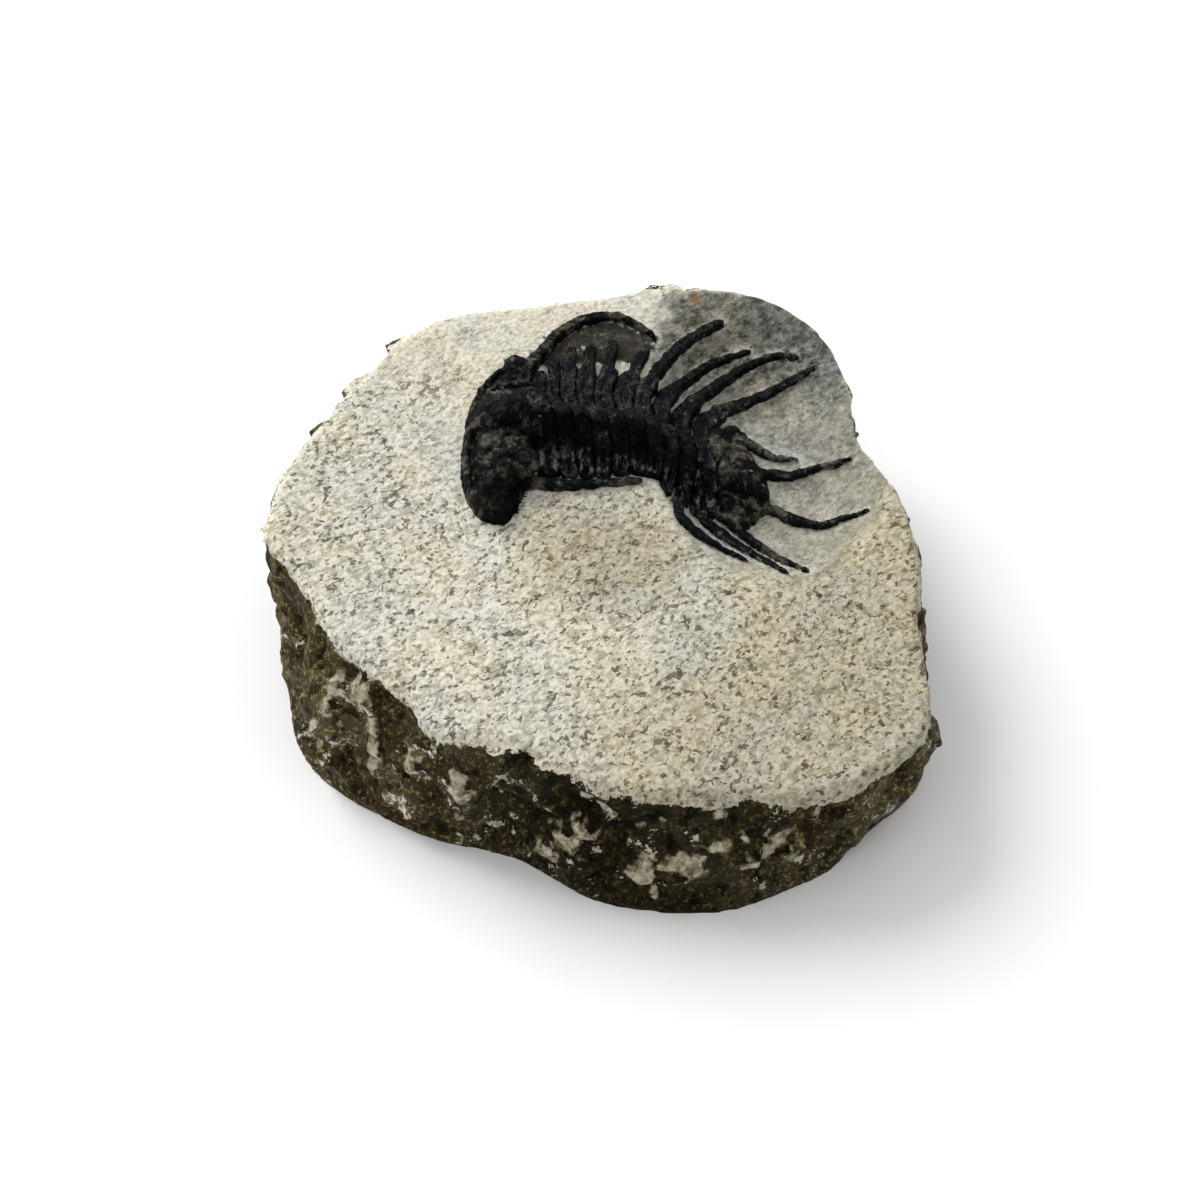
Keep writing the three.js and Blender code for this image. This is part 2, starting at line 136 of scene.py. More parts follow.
# Cream calcite on the broken wall: the middle of each patch, its half width and its half height.
CALCITE = [
    ((-36.3, -27.6, 21.8), 2.6, 4.0),
    ((-41.0, -25.4, 20.0), 1.8, 1.8),
    ((-34.5, -30.4, 17.2), 1.1, 2.6),
    ((-34.0, -31.9, 13.6), 1.6, 3.6),
    ((-35.5, -33.3, 9.0), 0.9, 2.2),
    ((-27.9, -35.6, 14.3), 1.9, 2.8),
    ((-20.6, -40.6, 15.0), 1.8, 3.4),
    ((-21.1, -40.2, 9.0), 0.6, 4.0),
    ((-8.0, -45.8, 4.6), 2.4, 1.8),
    ((-5.2, -47.0, 9.6), 2.8, 2.6),
    ((-2.4, -47.2, 12.8), 2.0, 1.8),
    ((-41.6, -26.0, 16.4), 0.9, 2.8),
    ((-43.8, -26.2, 11.0), 0.8, 3.4),
    ((-46.2, -24.6, 4.4), 1.6, 1.2),
    ((7.0, -50.8, 7.1), 2.1, 2.2),
    ((10.6, -50.4, 7.9), 1.8, 0.6),
    ((13.6, -50.5, 8.1), 2.4, 2.6),
    ((17.5, -50.2, 12.5), 2.3, 1.2),
    ((23.6, -50.2, 9.6), 2.4, 1.5),
    ((27.0, -49.4, 9.8), 3.0, 1.7),
    ((30.4, -48.4, 7.8), 1.8, 1.2),
    ((18.2, -47.5, 18.4), 1.1, 1.2),
    ((9.5, -48.2, 17.5), 0.8, 0.8),
    ((6.3, -48.3, 14.7), 0.8, 0.8),
    ((22.1, -48.9, 13.7), 0.9, 0.8),
    ((-7.6, -44.4, 13.9), 0.6, 0.6),
    ((8.8, -52.4, 3.2), 0.6, 2.4),
    ((33.4, -47.4, 15.4), 0.9, 2.6),
    ((-50.2, 18.0, 12.0), 2.0, 3.0),
    ((-33.0, 40.0, 18.0), 2.6, 1.6),
    ((-6.0, 48.6, 9.0), 3.2, 2.0),
    ((20.0, 52.6, 15.0), 2.0, 3.4),
    ((43.0, 36.0, 11.0), 2.2, 2.2),
    ((51.0, 2.0, 8.0), 3.0, 1.8),
    ((51.6, -18.0, 12.0), 1.6, 3.2),
]
RUST = ((17.0, 50.0, 32.6), 1.6)


def smoothstep(low, high, value):
    share = min(1.0, max(0.0, (value - low) / (high - low)))
    return share * share * (3 - 2 * share)


def lerp(start, end, share):
    return start + (end - start) * share


def cad_copy(*nodes):
    """CAD nodes as one mesh, merged, in millimetres."""
    copy = bmesh.new()
    for node in nodes:
        copy.from_mesh(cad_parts[node].data)
    bmesh.ops.remove_doubles(copy, verts=copy.verts, dist=0.001 * MM)
    bmesh.ops.scale(copy, vec=Vector((1, 1, 1)) / MM, verts=copy.verts)
    return copy


def remeshed(form, voxel):
    """A form as one closed skin of small even faces."""
    mesh = bpy.data.meshes.new("form")
    form.to_mesh(mesh)
    form.free()
    holder = bpy.data.objects.new("form", mesh)
    bpy.context.scene.collection.objects.link(holder)
    grid = holder.modifiers.new("grid", "REMESH")
    grid.mode = "VOXEL"
    grid.voxel_size = voxel
    skin = bmesh.new()
    skin.from_object(holder, bpy.context.evaluated_depsgraph_get())
    bpy.data.objects.remove(holder)
    bpy.data.meshes.remove(mesh)
    return skin


def smoothed(form, times):
    for _ in range(times):
        bmesh.ops.smooth_vert(
            form, verts=form.verts, factor=0.5, use_axis_x=True, use_axis_y=True, use_axis_z=True
        )
    form.normal_update()


def broken_face(point, size, tilt, step):
    """How far a broken surface stands out at a point: every break is a flat with a tilt of its own."""
    centre = noise.voronoi(point / size)[1][0]
    lean = noise.cell_vector(centre * 7.3) - Vector((0.5, 0.5, 0.5))
    return 2 * tilt * (point / size - centre).dot(lean) + step * (noise.cell(centre * 5.1) - 0.5)


def worked_reach(point):
    """0 at the middle of the hollow in plan and 1 at its edge."""
    across = abs(point.x - WORKED["x"]) / WORKED["half_x"]
    side = "far" if point.y > WORKED["y"] else "near"
    along = abs(point.y - WORKED["y"]) / WORKED[side]["half_y"]
    power = WORKED[side]["power"]
    return (across**power + along**power) ** (1 / power)


def shadow_stain_share(point):
    """1 in the middle of a patch of painted shadow and stain, 0 at its edge and less beyond."""
    return max(-1.0, *(1 - (point.xy - Vector(centre)).length / half for centre, half in SHADOW_STAIN_PATCHES))


def calcite_share(point):
    """From 0 to 1, over a half at the edge of a patch and less away from it."""
    best = -1.0
    for centre, half_width, half_height in CALCITE:
        away = point - Vector(centre)
        reach = math.hypot(away.xy.length / half_width, away.z / half_height)
        best = max(best, 1 - reach)
    return 0.5 + 0.5 * best


def place(form, name, finish, marks):
    """A finished form as an object, with the values that its material reads at each point."""
    mesh = bpy.data.meshes.new(name)
    bmesh.ops.scale(form, vec=Vector((MM, MM, MM)), verts=form.verts)
    form.to_mesh(mesh)
    form.free()
    mesh.polygons.foreach_set("use_smooth", [True] * len(mesh.polygons))
    for mark, values in marks.items():
        mesh.attributes.new(mark, "FLOAT", "POINT").data.foreach_set("value", values)
    mesh.materials.append(finish)
    piece = bpy.data.objects.new(name, mesh)
    bpy.context.scene.collection.objects.link(piece)
    return piece


fossil_nodes = [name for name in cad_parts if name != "matrix"]
fossil_solids = cad_copy(*fossil_nodes)
fossil_tree = BVHTree.FromBMesh(fossil_solids)
fossil_solids.free()

stone = remeshed(cad_copy("matrix"), STONE_VOXEL)
smoothed(stone, STONE_SMOOTHING)
stone.verts.index_update()
neighbours = [[edge.other_vert(v).index for edge in v.link_edges] for v in stone.verts]
walls = [1 - smoothstep(*WALL_NORMAL, v.normal.z) for v in stone.verts]
for _ in range(WALL_SPREAD):
    around = [sum(walls[n] for n in near) / len(near) for near in neighbours]
    walls = [0.5 * wall + 0.5 * mean for wall, mean in zip(walls, around)]
mark_names = ("rind", "worked", "warm_and_shade", "prepared", "finer", "calcite", "rust", "shadow_stained")
stone_marks = {name: [] for name in mark_names}
for v in stone.verts:
    start = v.co.copy()
    wall = walls[v.index]
    hollow = worked_reach(start)
    ragged = WORKED_WANDER * noise.noise(start / RIND_WANDER_SIZE)
    # Near the walls the worked grey and its painted shade fade out, so the rim stays pale.
    worked = (1 - smoothstep(*WORKED_FADE, hollow + ragged)) * (1 - min(1.0, RIM_PALENESS * wall))
    blasted = GRAIN_HEIGHT * noise.noise(start / GRAIN_SIZE)
    blasted -= WORKED_LIP["depth"] * (1 - smoothstep(*WORKED_LIP["from"], hollow)) * (1 - wall)
    crag = broken_face(start, **LARGE_BREAK) + broken_face(start, **SMALL_BREAK)
    vein = calcite_share(start)
    swell = wall * (crag + CALCITE_RISE * smoothstep(*CALCITE_EDGE, vein))
    v.co += v.normal * (blasted + swell * smoothstep(0, FOOT_FADE, start.z))
    wander = RIND_WANDER * noise.noise(start / RIND_WANDER_SIZE)
    wander *= min(1.0, RIND_WANDER_GROWTH * wall)
    retreat = RIND_RETREAT * (1 - min(1.0, RIND_RETREAT_FADE * wall))
    stone_marks["rind"].append(wall + wander - retreat)
    # The worked mark carries painted shade: more over the floor and most at the back wall of the hollow.
    shade = WORKED_SHADE[0] + WORKED_SHADE[1] * smoothstep(*WORKED_FLOOR_SHADE, start.y)
    shade += WORKED_SHADE[2] * smoothstep(*WORKED_BACK_SHADE, start.y)
    stone_marks["worked"].append(worked * shade)
    # Painted shade, warm and darker towards the front right, with a darker warm cloud at the front.
    away = start.xy - Vector(WARM_CLOUD["at"])
    cloud = math.hypot(away.x / WARM_CLOUD["half"][0], away.y / WARM_CLOUD["half"][1])
    warm_and_shade = smoothstep(*WARM_SHADE_FROM, start.xy.dot(Vector(WARM_SHADE_TOWARDS)))
    stone_marks["warm_and_shade"].append(max(warm_and_shade, 1 - smoothstep(*WARM_CLOUD["fades"], cloud)))
    reach = fossil_tree.find_nearest(start)[3]
    stone_marks["prepared"].append(1 - min(1.0, reach / PREPARED_REACH))
    cleaned = (1 - min(1.0, reach / FINER_REACH)) * smoothstep(*FINER_FROM, start.y)
    stone_marks["finer"].append(max(cleaned, worked, smoothstep(*FINER_BACK, start.y)))
    stone_marks["calcite"].append(vein)
    stone_marks["rust"].append(1 - min(1.0, (start - Vector(RUST[0])).length / RUST[1]))
    stone_marks["shadow_stained"].append(shadow_stain_share(start))
broken_verts = [v for v, wall in zip(stone.verts, walls) if wall > WALL_EDGE]
for _ in range(WALL_SMOOTHING):
    bmesh.ops.smooth_vert(
        stone, verts=broken_verts, factor=0.5, use_axis_x=True, use_axis_y=True, use_axis_z=True
    )
for v in stone.verts:
    v.co.z = 0 if v.co.z < FOOT_HEIGHT and v.normal.z < 0 else max(v.co.z, 0)
stone.normal_update()
stone_tree = BVHTree.FromBMesh(stone)


def stone_height(x, y):
    """Height of the finished stone under a point in plan."""
    return stone_tree.ray_cast(Vector((x, y, 2 * PLATE_HEIGHT)), Vector((0, 0, -1)))[0].z


def seen(colour):
    """A colour as the eye sees it, from 0 to 255, in the linear light that shaders take."""
    shares = [value / 255 for value in colour]
    light = [s / 12.92 if s <= 0.04045 else ((s + 0.055) / 1.055) ** 2.4 for s in shares]
    return (*light, 1.0)


def add_node(tree, kind, inputs, **settings):
    """A shader node with its settings, its inputs given as values or as the sockets that feed them."""
    node = tree.nodes.new(kind)
    for name, value in settings.items():
        setattr(node, name, value)
    for name, value in inputs.items():
        if isinstance(value, bpy.types.NodeSocket):
            tree.links.new(value, node.inputs[name])
        else:
            node.inputs[name].default_value = value
    return node


def noise_value(tree, position, size, detail=2.0, roughness=0.5, curl=0.0):
    """Cloudy noise with features of about that size, in millimetres, drawn out where it is curled."""
    inputs = {"Vector": position, "Scale": 1 / (size * MM), "Detail": detail}
    inputs |= {"Roughness": roughness, "Distortion": curl}
    return add_node(tree, "ShaderNodeTexNoise", inputs).outputs["Fac"]


def stepped(tree, value, low, high, bottom=0.0, top=1.0):
    """A value brought to the range bottom to top as it passes from low to high."""
    inputs = {"Value": value, "From Min": low, "From Max": high, "To Min": bottom, "To Max": top}
    return add_node(tree, "ShaderNodeMapRange", inputs, clamp=True).outputs["Result"]


def combined(tree, operation, first, second):
    return add_node(tree, "ShaderNodeMath", {0: first, 1: second}, operation=operation).outputs["Value"]


def blended(tree, share, first, second, blend_type="MIX"):
    inputs = {"Factor": share, 6: first, 7: second}
    return add_node(tree, "ShaderNodeMix", inputs, data_type="RGBA", blend_type=blend_type).outputs[2]


def point_value(tree, name):
    return add_node(tree, "ShaderNodeAttribute", {}, attribute_name=name).outputs["Fac"]


def new_material(name):
    material = bpy.data.materials.new(name)
    material.use_nodes = True
    tree = material.node_tree
    position = add_node(tree, "ShaderNodeTexCoord", {}).outputs["Object"]
    return material, tree, position, tree.nodes["Principled BSDF"]


def new_group(name, inputs, outputs):
    """An empty group of shader nodes with its sockets, each given by name and kind."""
    group = bpy.data.node_groups.new(name, "ShaderNodeTree")
    for way, sockets in (("INPUT", inputs), ("OUTPUT", outputs)):
        for socket, kind in sockets.items():
            group.interface.new_socket(socket, in_out=way, socket_type=f"NodeSocket{kind}")
    return group


# Grain of the bare limestone: pale crumbs in warm and cool clouds, with dark flecks that all lean one way.
# The stone shows it where it is blasted, and the fossil where its dust lies.
limestone_grain = new_group(
    "limestone_grain",
    {"Position": "Vector", "Flecks": "Float"},
    {"Colour": "Color", "Height": "Float", "Streaks": "Float"},
)
tree = limestone_grain
grain_in = tree.nodes.new("NodeGroupInput").outputs
position = grain_in["Position"]
lean = {"Vector": position, "Rotation": (0, 0, math.radians(FLECK_LEAN)), "Scale": (1.3, 1, 1)}
leaning = add_node(tree, "ShaderNodeMapping", lean, vector_type="TEXTURE").outputs["Vector"]
cloud = stepped(tree, noise_value(tree, position, 14.0, 3.0), 0.4, 0.6)
cream = blended(tree, cloud, seen(COOL_CREAM), seen(WARM_CREAM))
mottle = stepped(tree, noise_value(tree, leaning, 1.0, 3.0, 0.6, 0.4), 0.4, 0.53)
mottling = stepped(tree, grain_in["Flecks"], 0.4, 1.0, 0.5, 1.0)
mottle_tone = blended(tree, mottle, *MOTTLE_TONES)
cream = blended(tree, mottling, cream, mottle_tone, "MULTIPLY")
crumb = noise_value(tree, leaning, 0.55, 2.0)
cream = blended(tree, 1.0, cream, stepped(tree, crumb, 0.38, 0.62, 0.84, 1.14), "MULTIPLY")
crowd = stepped(tree, noise_value(tree, position, 6.0, 3.0), 0.35, 0.65, -0.03, 0.03)
fleck = combined(tree, "ADD", noise_value(tree, leaning, 0.85, 2.0, 0.5, 0.3), crowd)
fleck = combined(tree, "MULTIPLY", stepped(tree, fleck, 0.6, 0.64, 0.0, 0.74), grain_in["Flecks"])
blotch = combined(tree, "ADD", noise_value(tree, leaning, 1.6, 3.0, 0.6, 0.4), crowd)
blotch = combined(tree, "MULTIPLY", stepped(tree, blotch, 0.635, 0.66, 0.0, 0.85), grain_in["Flecks"])
tone = stepped(tree, noise_value(tree, position, 2.2), 0.42, 0.58)
fleck_tone = blended(tree, tone, *map(seen, FLECK_COLOURS))
flecked = blended(tree, fleck, cream, fleck_tone)
flecked = blended(tree, blotch, flecked, fleck_tone)
draw = lean | {"Scale": (3.5, 1, 1)}
drawn = add_node(tree, "ShaderNodeMapping", draw, vector_type="TEXTURE").outputs["Vector"]
hair = combined(tree, "SUBTRACT", noise_value(tree, drawn, 2.0, 3.0, 0.6, 0.2), 0.5)
hair = stepped(tree, combined(tree, "ABSOLUTE", hair, 0.0), 0.003, 0.012, 0.6, 0.0)
hair = combined(tree, "MULTIPLY", hair, stepped(tree, noise_value(tree, position, 5.0), 0.5, 0.58))
flecked = blended(tree, hair, flecked, seen(HAIRLINE))
pits = combined(tree, "MAXIMUM", combined(tree, "MAXIMUM", fleck, blotch), hair)
grain_height = combined(tree, "SUBTRACT", crumb, pits)
streaks = noise_value(tree, leaning, 2.0, 5.0, 0.75)
grain_out = tree.nodes.new("NodeGroupOutput")
tree.links.new(flecked, grain_out.inputs["Colour"])
tree.links.new(grain_height, grain_out.inputs["Height"])
tree.links.new(streaks, grain_out.inputs["Streaks"])

limestone, tree, position, shader = new_material("limestone")
flecks = stepped(tree, point_value(tree, "finer"), 0.0, 1.0, 1.0, 0.4)
grain = add_node(tree, "ShaderNodeGroup", {"Position": position, "Flecks": flecks}, node_tree=limestone_grain)
streaks = grain.outputs["Streaks"]
# The face takes the warm painted shade.
face_colour = blended(tree, point_value(tree, "warm_and_shade"), grain.outputs["Colour"], WARM_SHADE_TONE, "MULTIPLY")
# The worked hollow turns grey, and darker still where its painted shade is strongest, towards the back.
smear = stepped(tree, noise_value(tree, position, 4.0, 5.0, 0.7), 0.4, 0.6, 0.8, 1.2)
worked = combined(tree, "MULTIPLY", point_value(tree, "worked"), smear)
worked_grey_and_shade = blended(tree, stepped(tree, streaks, 0.4, 0.6), *WORKED_GREY_AND_SHADE_TONES)
face_colour = blended(tree, worked, face_colour, worked_grey_and_shade, "MULTIPLY")
scratch = stepped(tree, point_value(tree, "prepared"), 0.72, 0.95)
scratch = combined(tree, "MULTIPLY", scratch, stepped(tree, streaks, 0.45, 0.6, 0.0, 0.6))
face_colour = blended(tree, scratch, face_colour, seen(SCRATCH))
# Painted shadow, partly stain, on the stone under the far cheek spine.
shadow_stain_noise = noise_value(tree, position, 1.6, 4.0, 0.65)
shadow_stain_edge = stepped(tree, shadow_stain_noise, 0.36, 0.64, 0.35, -0.35)
shadow_stain = combined(tree, "ADD", point_value(tree, "shadow_stained"), shadow_stain_edge)
shadow_stain = stepped(tree, shadow_stain, -0.15, 0.15, 0.0, 0.95)
shadow_stain_tone = blended(tree, stepped(tree, shadow_stain_noise, 0.46, 0.64), *map(seen, SHADOW_STAIN_COLOURS))
face_colour = blended(tree, shadow_stain, face_colour, shadow_stain_tone)
ragged = stepped(tree, noise_value(tree, position, 1.8, 5.0, 0.7), 0.38, 0.62, -0.4, 0.4)
ragged = combined(tree, "ADD", point_value(tree, "rind"), ragged)
rind_share = stepped(tree, ragged, 0.42, 0.5)
crust = stepped(tree, ragged, 0.0, 0.4, 0.0, 0.5)
face_colour = blended(tree, crust, face_colour, seen(CRUST))
rust = combined(tree, "ADD", point_value(tree, "rust"), noise_value(tree, position, 0.9))
face_colour = blended(tree, stepped(tree, rust, 0.72, 1.15, 0.0, 0.8), face_colour, seen(RUST_COLOUR))
rind_cloud = noise_value(tree, position, 9.0, 3.0)
rind_dark = blended(tree, stepped(tree, rind_cloud, 0.42, 0.6), *map(seen, RIND_COLOURS))
rind_fleck = stepped(tree, noise_value(tree, position, 0.9, 6.0, 0.8), 0.53, 0.61, 0.0, 0.85)
rind_colour = blended(tree, rind_fleck, rind_dark, seen(RIND_FLECK))
rind_pit = stepped(tree, noise_value(tree, position, 2.6, 5.0, 0.65), 0.4, 0.5, 0.9, 0.0)
rind_colour = blended(tree, rind_pit, rind_colour, seen(RIND_PIT))
places = add_node(tree, "ShaderNodeSeparateXYZ", {"Vector": position}).outputs
grey_foot = combined(tree, "ADD", stepped(tree, places["Z"], 2 * MM, 14 * MM, 0.2, 0.0), rind_cloud)
grey_foot = combined(tree, "MULTIPLY", stepped(tree, grey_foot, 0.56, 0.7, 0.0, 0.8), rind_fleck)
rind_colour = blended(tree, grey_foot, rind_colour, seen(RIND_FOOT))
# Painted light and shade on the broken walls: darker across the front middle and lighter towards both ends,
# by their distance from the middle in X.
from_middle = combined(tree, "ABSOLUTE", combined(tree, "SUBTRACT", places["X"], 5 * MM), 0.0)
end_share = stepped(tree, from_middle, 8 * MM, 42 * MM)
painted_end_light = blended(tree, end_share, *RIND_PAINTED_LIGHT_TONES)
rind_colour = blended(tree, 1.0, rind_colour, painted_end_light, "MULTIPLY")
calcite_noise = noise_value(tree, position, 2.6, 4.0, 0.55)
calcite_edge = stepped(tree, calcite_noise, 0.38, 0.62, -0.25, 0.25)
calcite_near = combined(tree, "ADD", point_value(tree, "calcite"), calcite_edge)
calcite = stepped(tree, calcite_near, 0.45, 0.6, 0.0, 0.95)
# Painted shade on the calcite: darker towards the rim of each patch, which also reads as a brownish halo, and
# mottled inside as if lumpy.
calcite_rim_shade = stepped(tree, calcite_near, 0.48, 0.8, -0.12, 0.0)
calcite_shading = combined(tree, "ADD", noise_value(tree, position, 1.4, 5.0, 0.7), calcite_rim_shade)
calcite_shading = stepped(tree, calcite_shading, 0.36, 0.58)
calcite_shaded_tone = blended(tree, calcite_shading, *map(seen, CALCITE_SHADE_COLOURS))
rind_colour = blended(tree, calcite, rind_colour, calcite_shaded_tone)
tree.links.new(blended(tree, rind_share, face_colour, rind_colour), shader.inputs["Base Color"])
tree.links.new(stepped(tree, rind_share, 0.0, 1.0, 0.92, 0.6), shader.inputs["Roughness"])
shader.inputs["Specular IOR Level"].default_value = STONE_GLOSS
rind_height = combined(tree, "MULTIPLY", noise_value(tree, position, 1.6, 5.0, 0.7), 4.0)
heights = {"Factor": rind_share, 2: grain.outputs["Height"], 3: rind_height}
height = add_node(tree, "ShaderNodeMix", heights, data_type="FLOAT").outputs[0]
relief = add_node(tree, "ShaderNodeBump", {"Height": height, "Strength": 0.5, "Distance": 0.25 * MM})
tree.links.new(relief.outputs["Normal"], shader.inputs["Normal"])

block = place(stone, "limestone_block", limestone, stone_marks)
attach(block, "root")
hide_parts("matrix")

# The ten rings of the thorax, each one plate of black calcite with a raised middle lobe and two bars to
# each flank. They lie edge to edge, bedded in the stone and cleaned of it with a fine point, and the last
# four have long free spines.
BODY_CREST = [
    (-21.0, 19.6, 32.4),
    (-14.0, 19.3, 38.0),
    (-8.0, 18.5, 37.0),
    (0.5, 18.1, 36.2),
    (8.6, 17.1, 35.0),
    (15.5, 15.1, 32.4),
    (20.8, 13.5, 29.4),
    (25.0, 11.9, 26.6),
    (29.3, 10.7, 24.0),
]
THORAX_START = 13.1
RING_PITCH = 3.0
LOBE_HALF_WIDTH = 4.84
LOBE_EDGE = (LOBE_HALF_WIDTH - 1.0, LOBE_HALF_WIDTH + 1.0)
LOBE_SHARE = 0.8
LOBE_POWER = 2.4
LOBE_FURROW = {"depth": 0.35, "width": 0.7}
RING_GAP = 0.02
FRONT_REACH = {"far": 0.5, "near": 0.9}
REAR_REACH = 0.6
JOINT_WANDER = {"size": 1.8, "reach": 0.3}
LOBE_GROOVE = 0.9
FLANK_GROOVE = {"far": 0.4, "near": 0.8}
LOBE_ROUNDING = 2.0
FLANK_ROUNDING = 3.4
SPINE_ROUNDING = 4.5
SPINE_KNOCKS = {"size": 1.6, "width": 0.14, "wander": 0.16}
WANDER_SEED = 7
EDGE_RELIEF = 1.7
SPINE_BASE = {"far": (1.05, EDGE_RELIEF), "near": (0.85, EDGE_RELIEF)}
BLUNT_TIP = (0.85, 1.0)
BLUNT_RINGS = 7
FAR_TIP = (0.4, 0.55)
NEAR_TIP = (0.35, 0.7)
SPINE_SHOULDER = 1.2
BAR_START = (0.9, 1.08)
BAR_HALF_WIDTH = 1.1
STUB_HALF_WIDTH = 0.9
STUB_LENGTH = 0.5
BED_DEPTH = 0.9
TIP_ROUNDING = 1.2
TIP_LEAST = 0.2
TIP_LOWERING = 0.5
SHOULDER_SHARE = 0.35
RING_STEP = 0.25
RING_SIDES = 48
SPINE_SIDES = 20
LINE_STEPS = 24
EDGE_POINT = 2

# Plan points of each ring's ribs out from the crest: the second is the edge of the body, the rest is spine.
RINGS = [
    {"far": [(-9.8, 27.0), (-9.6, 30.0), (-9.2, 31.6)], "near": [(-7.4, 12.6), (-7.2, 10.3)]},
    {"far": [(-7.2, 26.8), (-7.2, 31.4), (-7.1, 34.4)], "near": [(-4.6, 12.6), (-4.5, 10.1)]},
    {"far": [(-5.0, 26.2), (-4.7, 32.0), (-4.2, 37.2)], "near": [(-1.8, 12.6), (-1.7, 10.2)]},
    {"far": [(-2.1, 26.0), (-1.5, 32.2), (-0.8, 38.0)], "near": [(1.1, 12.8), (1.1, 10.7)]},
    {"far": [(0.9, 25.8), (1.8, 32.2), (2.8, 39.5)], "near": [(4.0, 13.0), (3.9, 11.2)]},
    {"far": [(4.5, 25.6), (6.0, 31.8), (8.5, 38.2)], "near": [(6.9, 13.2), (6.7, 11.5)]},
    {
        "far": [(7.6, 25.0), (9.0, 30.4), (12.0, 36.1), (17.0, 41.8), (21.9, 45.1)],
        "near": [(9.5, 13.2), (9.3, 11.2)],
    },
    {
        "far": [(10.6, 24.0), (11.9, 28.8), (15.4, 33.3), (20.2, 37.7), (26.4, 40.6)],
        "near": [(12.1, 12.6), (11.4, 7.8)],
    },
    {
        "far": [(13.8, 24.0), (16.1, 29.2), (20.5, 33.5), (26.3, 38.0), (30.6, 39.7), (34.8, 39.4)],
        "near": [(14.4, 12.4), (13.1, 7.2), (13.8, 2.9), (17.6, -0.8), (24.1, -3.7)],
    },
    {
        "far": [(17.2, 23.4), (20.2, 28.2), (24.5, 30.3), (31.2, 34.1), (37.9, 38.0)],
        "near": [(17.6, 11.6), (16.9, 6.4), (18.8, 3.4), (25.0, -0.9), (30.4, -6.1)],
    },
]
RING_KNOBS = [(0.0, 0.35, 0.6), (6.4, 0.3, 0.5), (-5.8, 0.3, 0.45)]
PLEURAL_FURROW = {"far": 0.3, "near": 0.8, "width": 0.2}
FURROW_END = {"far": (0.6, 0.9), "near": (1.0, 1.1)}
LOBE_SHADE = {"from": (0.0, 1.2), "to": (3.2, 4.6), "wander": 2.2, "size": 2.0, "fades": (5.0, 9.0)}
# The flank bars carry a painted highlight, strongest on the near flank.
BAR = {"at": 0.52, "width": 0.24}
BAR_HIGHLIGHT = {"far": 0.25, "near": 1.0}
SHELL_LUMPS = [(2.6, 0.2), (1.1, 0.24), (0.5, 0.12)]
SHELL_GLOSS = 0.07
# Bluish grey of the painted highlight on the shell.
HIGHLIGHT_BLUE = (112, 119, 124)
SCRAPED_GREY = (116, 116, 108)
SHADE_BLACK = (3, 3, 3)
RING_SHELL = {"black": (4, 5, 6), "brown": (62, 58, 48), "brown_from": 0.57}
DUST_HEIGHT = 1.0
HIGHLIGHT_SWELL = (0.07, 0.3)
HIGHLIGHT_SPREAD = 24
SHADE_FADE = (0.5, 1.0)


def smooth_line(points):
    """A line through points, in many short steps."""
    knots = [Vector(point).to_3d() for point in points]
    knots = [2 * knots[0] - knots[1], *knots, 2 * knots[-1] - knots[-2]]
    line = [knots[1]]
    for before, start, end, after in zip(knots, knots[1:], knots[2:], knots[3:]):
        bend = (start + (end - before) / 6, end - (after - start) / 6)
        line += interpolate_bezier(start, *bend, end, LINE_STEPS + 1)[1:]
    return line


def measured(points):
    """A smooth line with the distance of each point from its start, and how far off the body's edge is."""
    line = smooth_line(points)
    distances = [0.0]
    for start, end in zip(line, line[1:]):
        distances.append(distances[-1] + (end - start).length)
    edge = distances[min(EDGE_POINT * LINE_STEPS, len(distances) - 1)]
    return {"line": line, "distances": distances, "length": distances[-1], "edge": edge}


def point_at(path, distance):
    """The point of a measured line at a distance along it, and its direction there."""
    line, distances = path["line"], path["distances"]
    after = min(max(bisect.bisect(distances, distance), 1), len(line) - 1)
    step = line[after] - line[after - 1]
    share = (distance - distances[after - 1]) / (distances[after] - distances[after - 1])
    return line[after - 1] + step * share, step.normalized()


noise.seed_set(WANDER_SEED)
crest_line = measured(BODY_CREST)
crest_distances = [THORAX_START + (order + 0.5) * RING_PITCH for order in range(len(RINGS))]
crest_points = [point_at(crest_line, distance)[0] for distance in crest_distances]
ribs = [
    {side: measured([crest.xy, *ring[side]]) for side in ("far", "near")}
    for ring, crest in zip(RINGS, crest_points)
]


def rib_point(order, side, share):
    path = ribs[order][side]
    return point_at(path, share * path["edge"])[0].xy


def joint_point(order, side, share):
    """A point of the joint in front of a ring, midway between its rib and the one before."""
    if order == 0:
        return rib_point(0, side, share).lerp(rib_point(1, side, share), -FRONT_REACH[side])
    if order == len(RINGS):
        return rib_point(order - 1, side, share).lerp(rib_point(order - 2, side, share), -REAR_REACH)
    point = rib_point(order - 1, side, share).lerp(rib_point(order, side, share), 0.5)
    return point + JOINT_WANDER["reach"] * noise.noise_vector(point.to_3d() / JOINT_WANDER["size"]).xy


